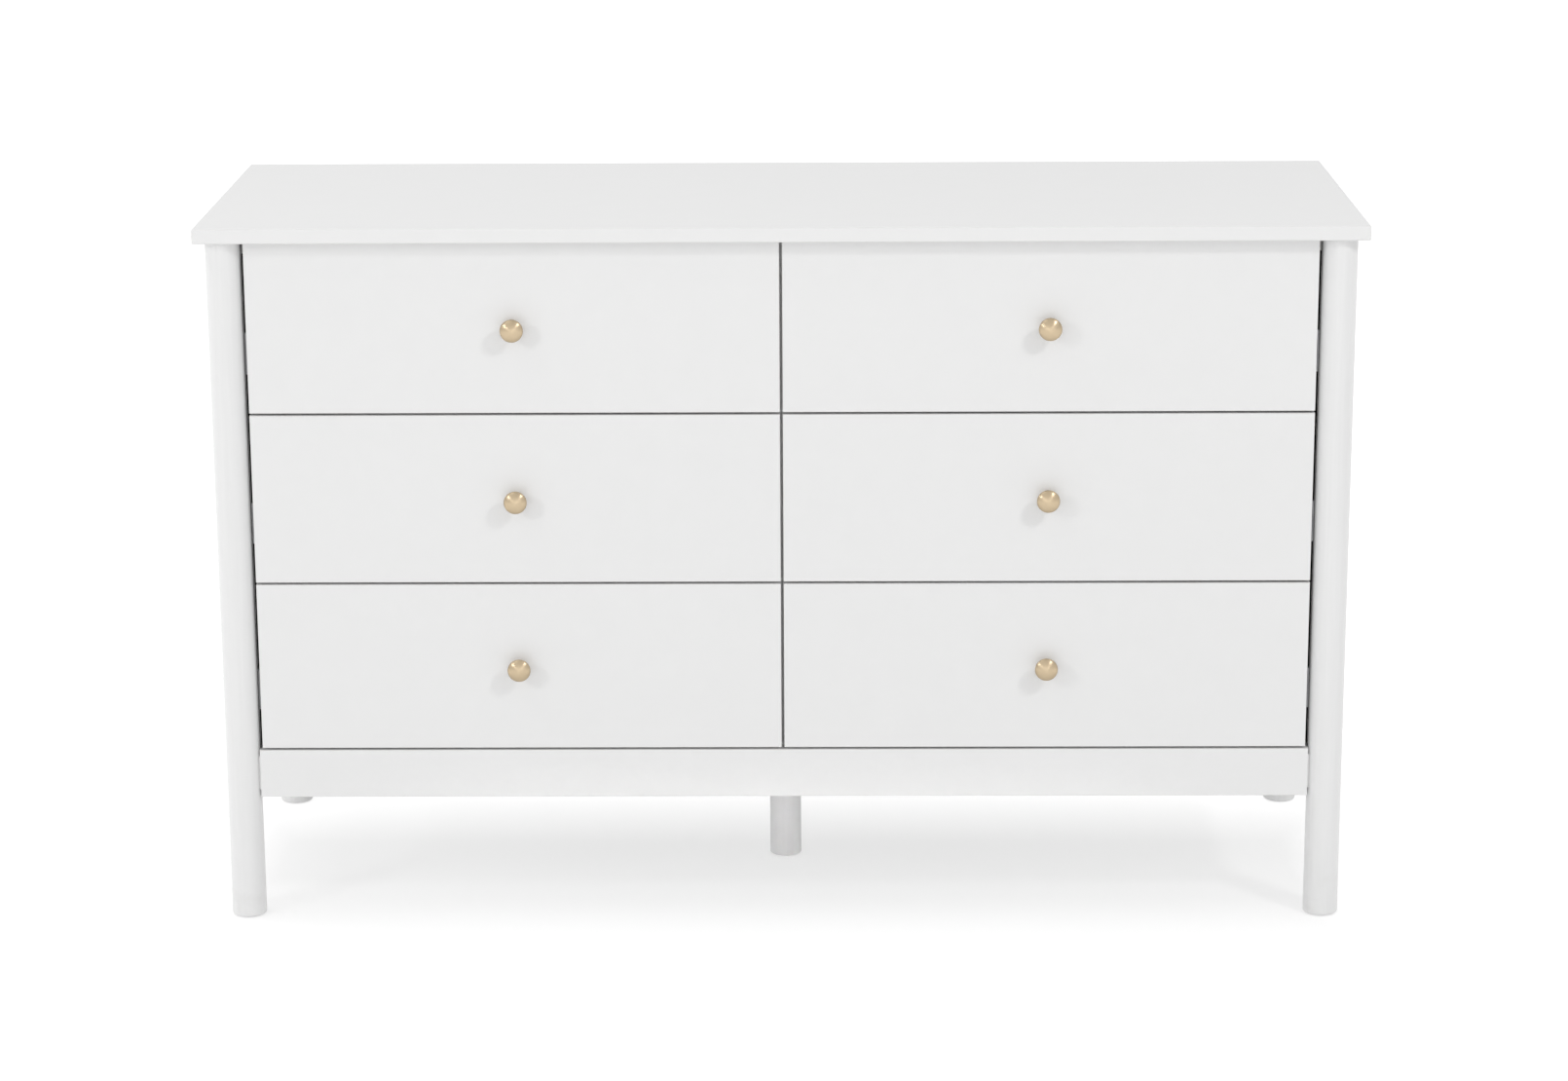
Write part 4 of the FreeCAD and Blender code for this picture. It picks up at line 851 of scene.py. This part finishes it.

# ---------------------------------------------------------------- studio
# A white floor that runs away to a white background, with a painted shadow in its glow under the
# dresser.
# A soft lamp high on each side in front gives the shadows; a wide one low in front and one
# overhead fill them; small ones light the floor under the apron, the left side and the back.

FLOOR_REACH = 14.0
floor_mesh = bpy.data.meshes.new("floor")
floor_mesh.from_pydata([(-FLOOR_REACH, -FLOOR_REACH, 0), (FLOOR_REACH, -FLOOR_REACH, 0),
                        (FLOOR_REACH, FLOOR_REACH, 0), (-FLOOR_REACH, FLOOR_REACH, 0)],
                       [], [(0, 1, 2, 3)])
floor = bpy.data.objects.new("floor", floor_mesh)
bpy.context.scene.collection.objects.link(floor)
floor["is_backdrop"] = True


def seen_directly(tree):
    """1 for what the camera, a mirror or a glass sees, 0 for light that falls on things."""
    path = node(tree, "LightPath").outputs
    seen = maths(tree, "MAXIMUM", path["Is Camera Ray"], path["Is Glossy Ray"])
    return maths(tree, "MAXIMUM", seen, path["Is Transmission Ray"])


paper = bpy.data.materials.new("studio_floor")
paper.use_nodes = True
tree = paper.node_tree
tree.nodes.remove(tree.nodes["Principled BSDF"])
lit = node(tree, "BsdfDiffuse", {"Color": (0.88, 0.88, 0.88, 1)})
where = node(tree, "SeparateXYZ", {0: object_place(tree)}).outputs
NEAR, FAR = 0.60, 1.0     # glow of the floor as seen: lowered under the dresser as a painted shadow, full white away from it
BESIDE, BEHIND, BEFORE = (0.58, 0.74), (0.05, 0.42), (0.15, 0.9)      # where the painted shadow gives way to white
# painted shadow: the glow is low under the dresser and rises to full white beside, behind and
# before it
beside = spread(tree, maths(tree, "ABSOLUTE", where["X"]), *BESIDE, NEAR, FAR)
behind = spread(tree, where["Y"], *BEHIND, NEAR, FAR)
before = spread(tree, maths(tree, "MULTIPLY", where["Y"], -1.0), *BEFORE, NEAR, FAR)
glow_with_painted_shadow = maths(tree, "MAXIMUM", beside, maths(tree, "MAXIMUM", behind, before))
lit_seen = node(tree, "BsdfDiffuse", {"Color": (0.42, 0.42, 0.42, 1)})
glow = node(tree, "Emission", {"Color": (1, 1, 1, 1), "Strength": glow_with_painted_shadow})
both = node(tree, "AddShader", {0: lit_seen.outputs[0], 1: glow.outputs[0]})
choice = node(tree, "MixShader", {0: seen_directly(tree), 1: lit.outputs[0], 2: both.outputs[0]})
tree.links.new(choice.outputs[0], tree.nodes["Material Output"].inputs["Surface"])
floor_mesh.materials.append(paper)

world = bpy.data.worlds.new("studio")
bpy.context.scene.world = world
world.use_nodes = True
tree = world.node_tree
AMBIENT = 0.63
sky = tree.nodes["Background"]
sky.inputs["Color"].default_value = (1, 1, 1, 1)
strength = spread(tree, seen_directly(tree), 0.0, 1.0, AMBIENT, 1.0)
tree.links.new(strength, sky.inputs["Strength"])


def soft_lamp(name, place, aim, width, height, power, mirrored=True, spread_angle=180):
    """Area lamp; one that isn't mirrored leaves no bright patch on the lacquer."""
    data = bpy.data.lights.new(name, "AREA")
    data.shape = "RECTANGLE"
    data.size, data.size_y, data.energy = width, height, power
    data.spread = math.radians(spread_angle)
    lamp = bpy.data.objects.new(name, data)
    bpy.context.scene.collection.objects.link(lamp)
    lamp.visible_glossy = mirrored
    lamp.location = place
    lamp.rotation_euler = (Vector(aim) - Vector(place)).to_track_quat("-Z", "Y").to_euler()


MIDDLE = (0.0, -0.2, 0.42)
LAMPS = [  # name, place, point aimed at, width, height, watts, mirrored, spread in degrees
    ("lamp_right", (2.4, -2.45, 3.0), MIDDLE, 0.5, 0.5, 30.0),
    ("lamp_left", (-2.7, -2.45, 1.9), MIDDLE, 0.55, 0.55, 16.0),
    ("lamp_over", (-1.5, -0.3, 3.2), (-0.2, 0.0, 0.7), 2.0, 1.6, 10.0),
    ("lamp_fill", (0.0, -5.6, 0.5), MIDDLE, 4.5, 0.9, 22.0),
    ("lamp_low", (0.0, -1.9, 0.03), (0.0, 0.0, -0.02), 0.8, 0.04, 0.15, True, 14),
    ("lamp_far_left", (-3.4, 0.2, 1.1), MIDDLE, 1.5, 1.5, 12.0, False),
    ("lamp_behind", (0.0, 3.2, 0.45), (0.0, 0.0, 0.1), 3.0, 0.5, 8.0, False),
]
for lamp_values in LAMPS:
    soft_lamp(*lamp_values)

EYE = (0.0483, -4.2712, 1.4805)
TURN, DOWN, ROLL = math.radians(0.650), math.radians(14.478), math.radians(-0.301)
camera_data = bpy.data.cameras.new("camera")
camera_data.sensor_fit = "HORIZONTAL"
camera_data.sensor_width = 36.0
camera_data.lens = 88.97
camera = bpy.data.objects.new("camera", camera_data)
bpy.context.scene.collection.objects.link(camera)
camera.matrix_world = (Matrix.Translation(EYE)
                       @ Matrix.Rotation(TURN, 4, "Z")
                       @ Matrix.Rotation(math.pi / 2 - DOWN, 4, "X")
                       @ Matrix.Rotation(ROLL, 4, "Z"))
bpy.context.scene.camera = camera
bpy.context.scene.view_settings.view_transform = "Standard"

low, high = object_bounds()
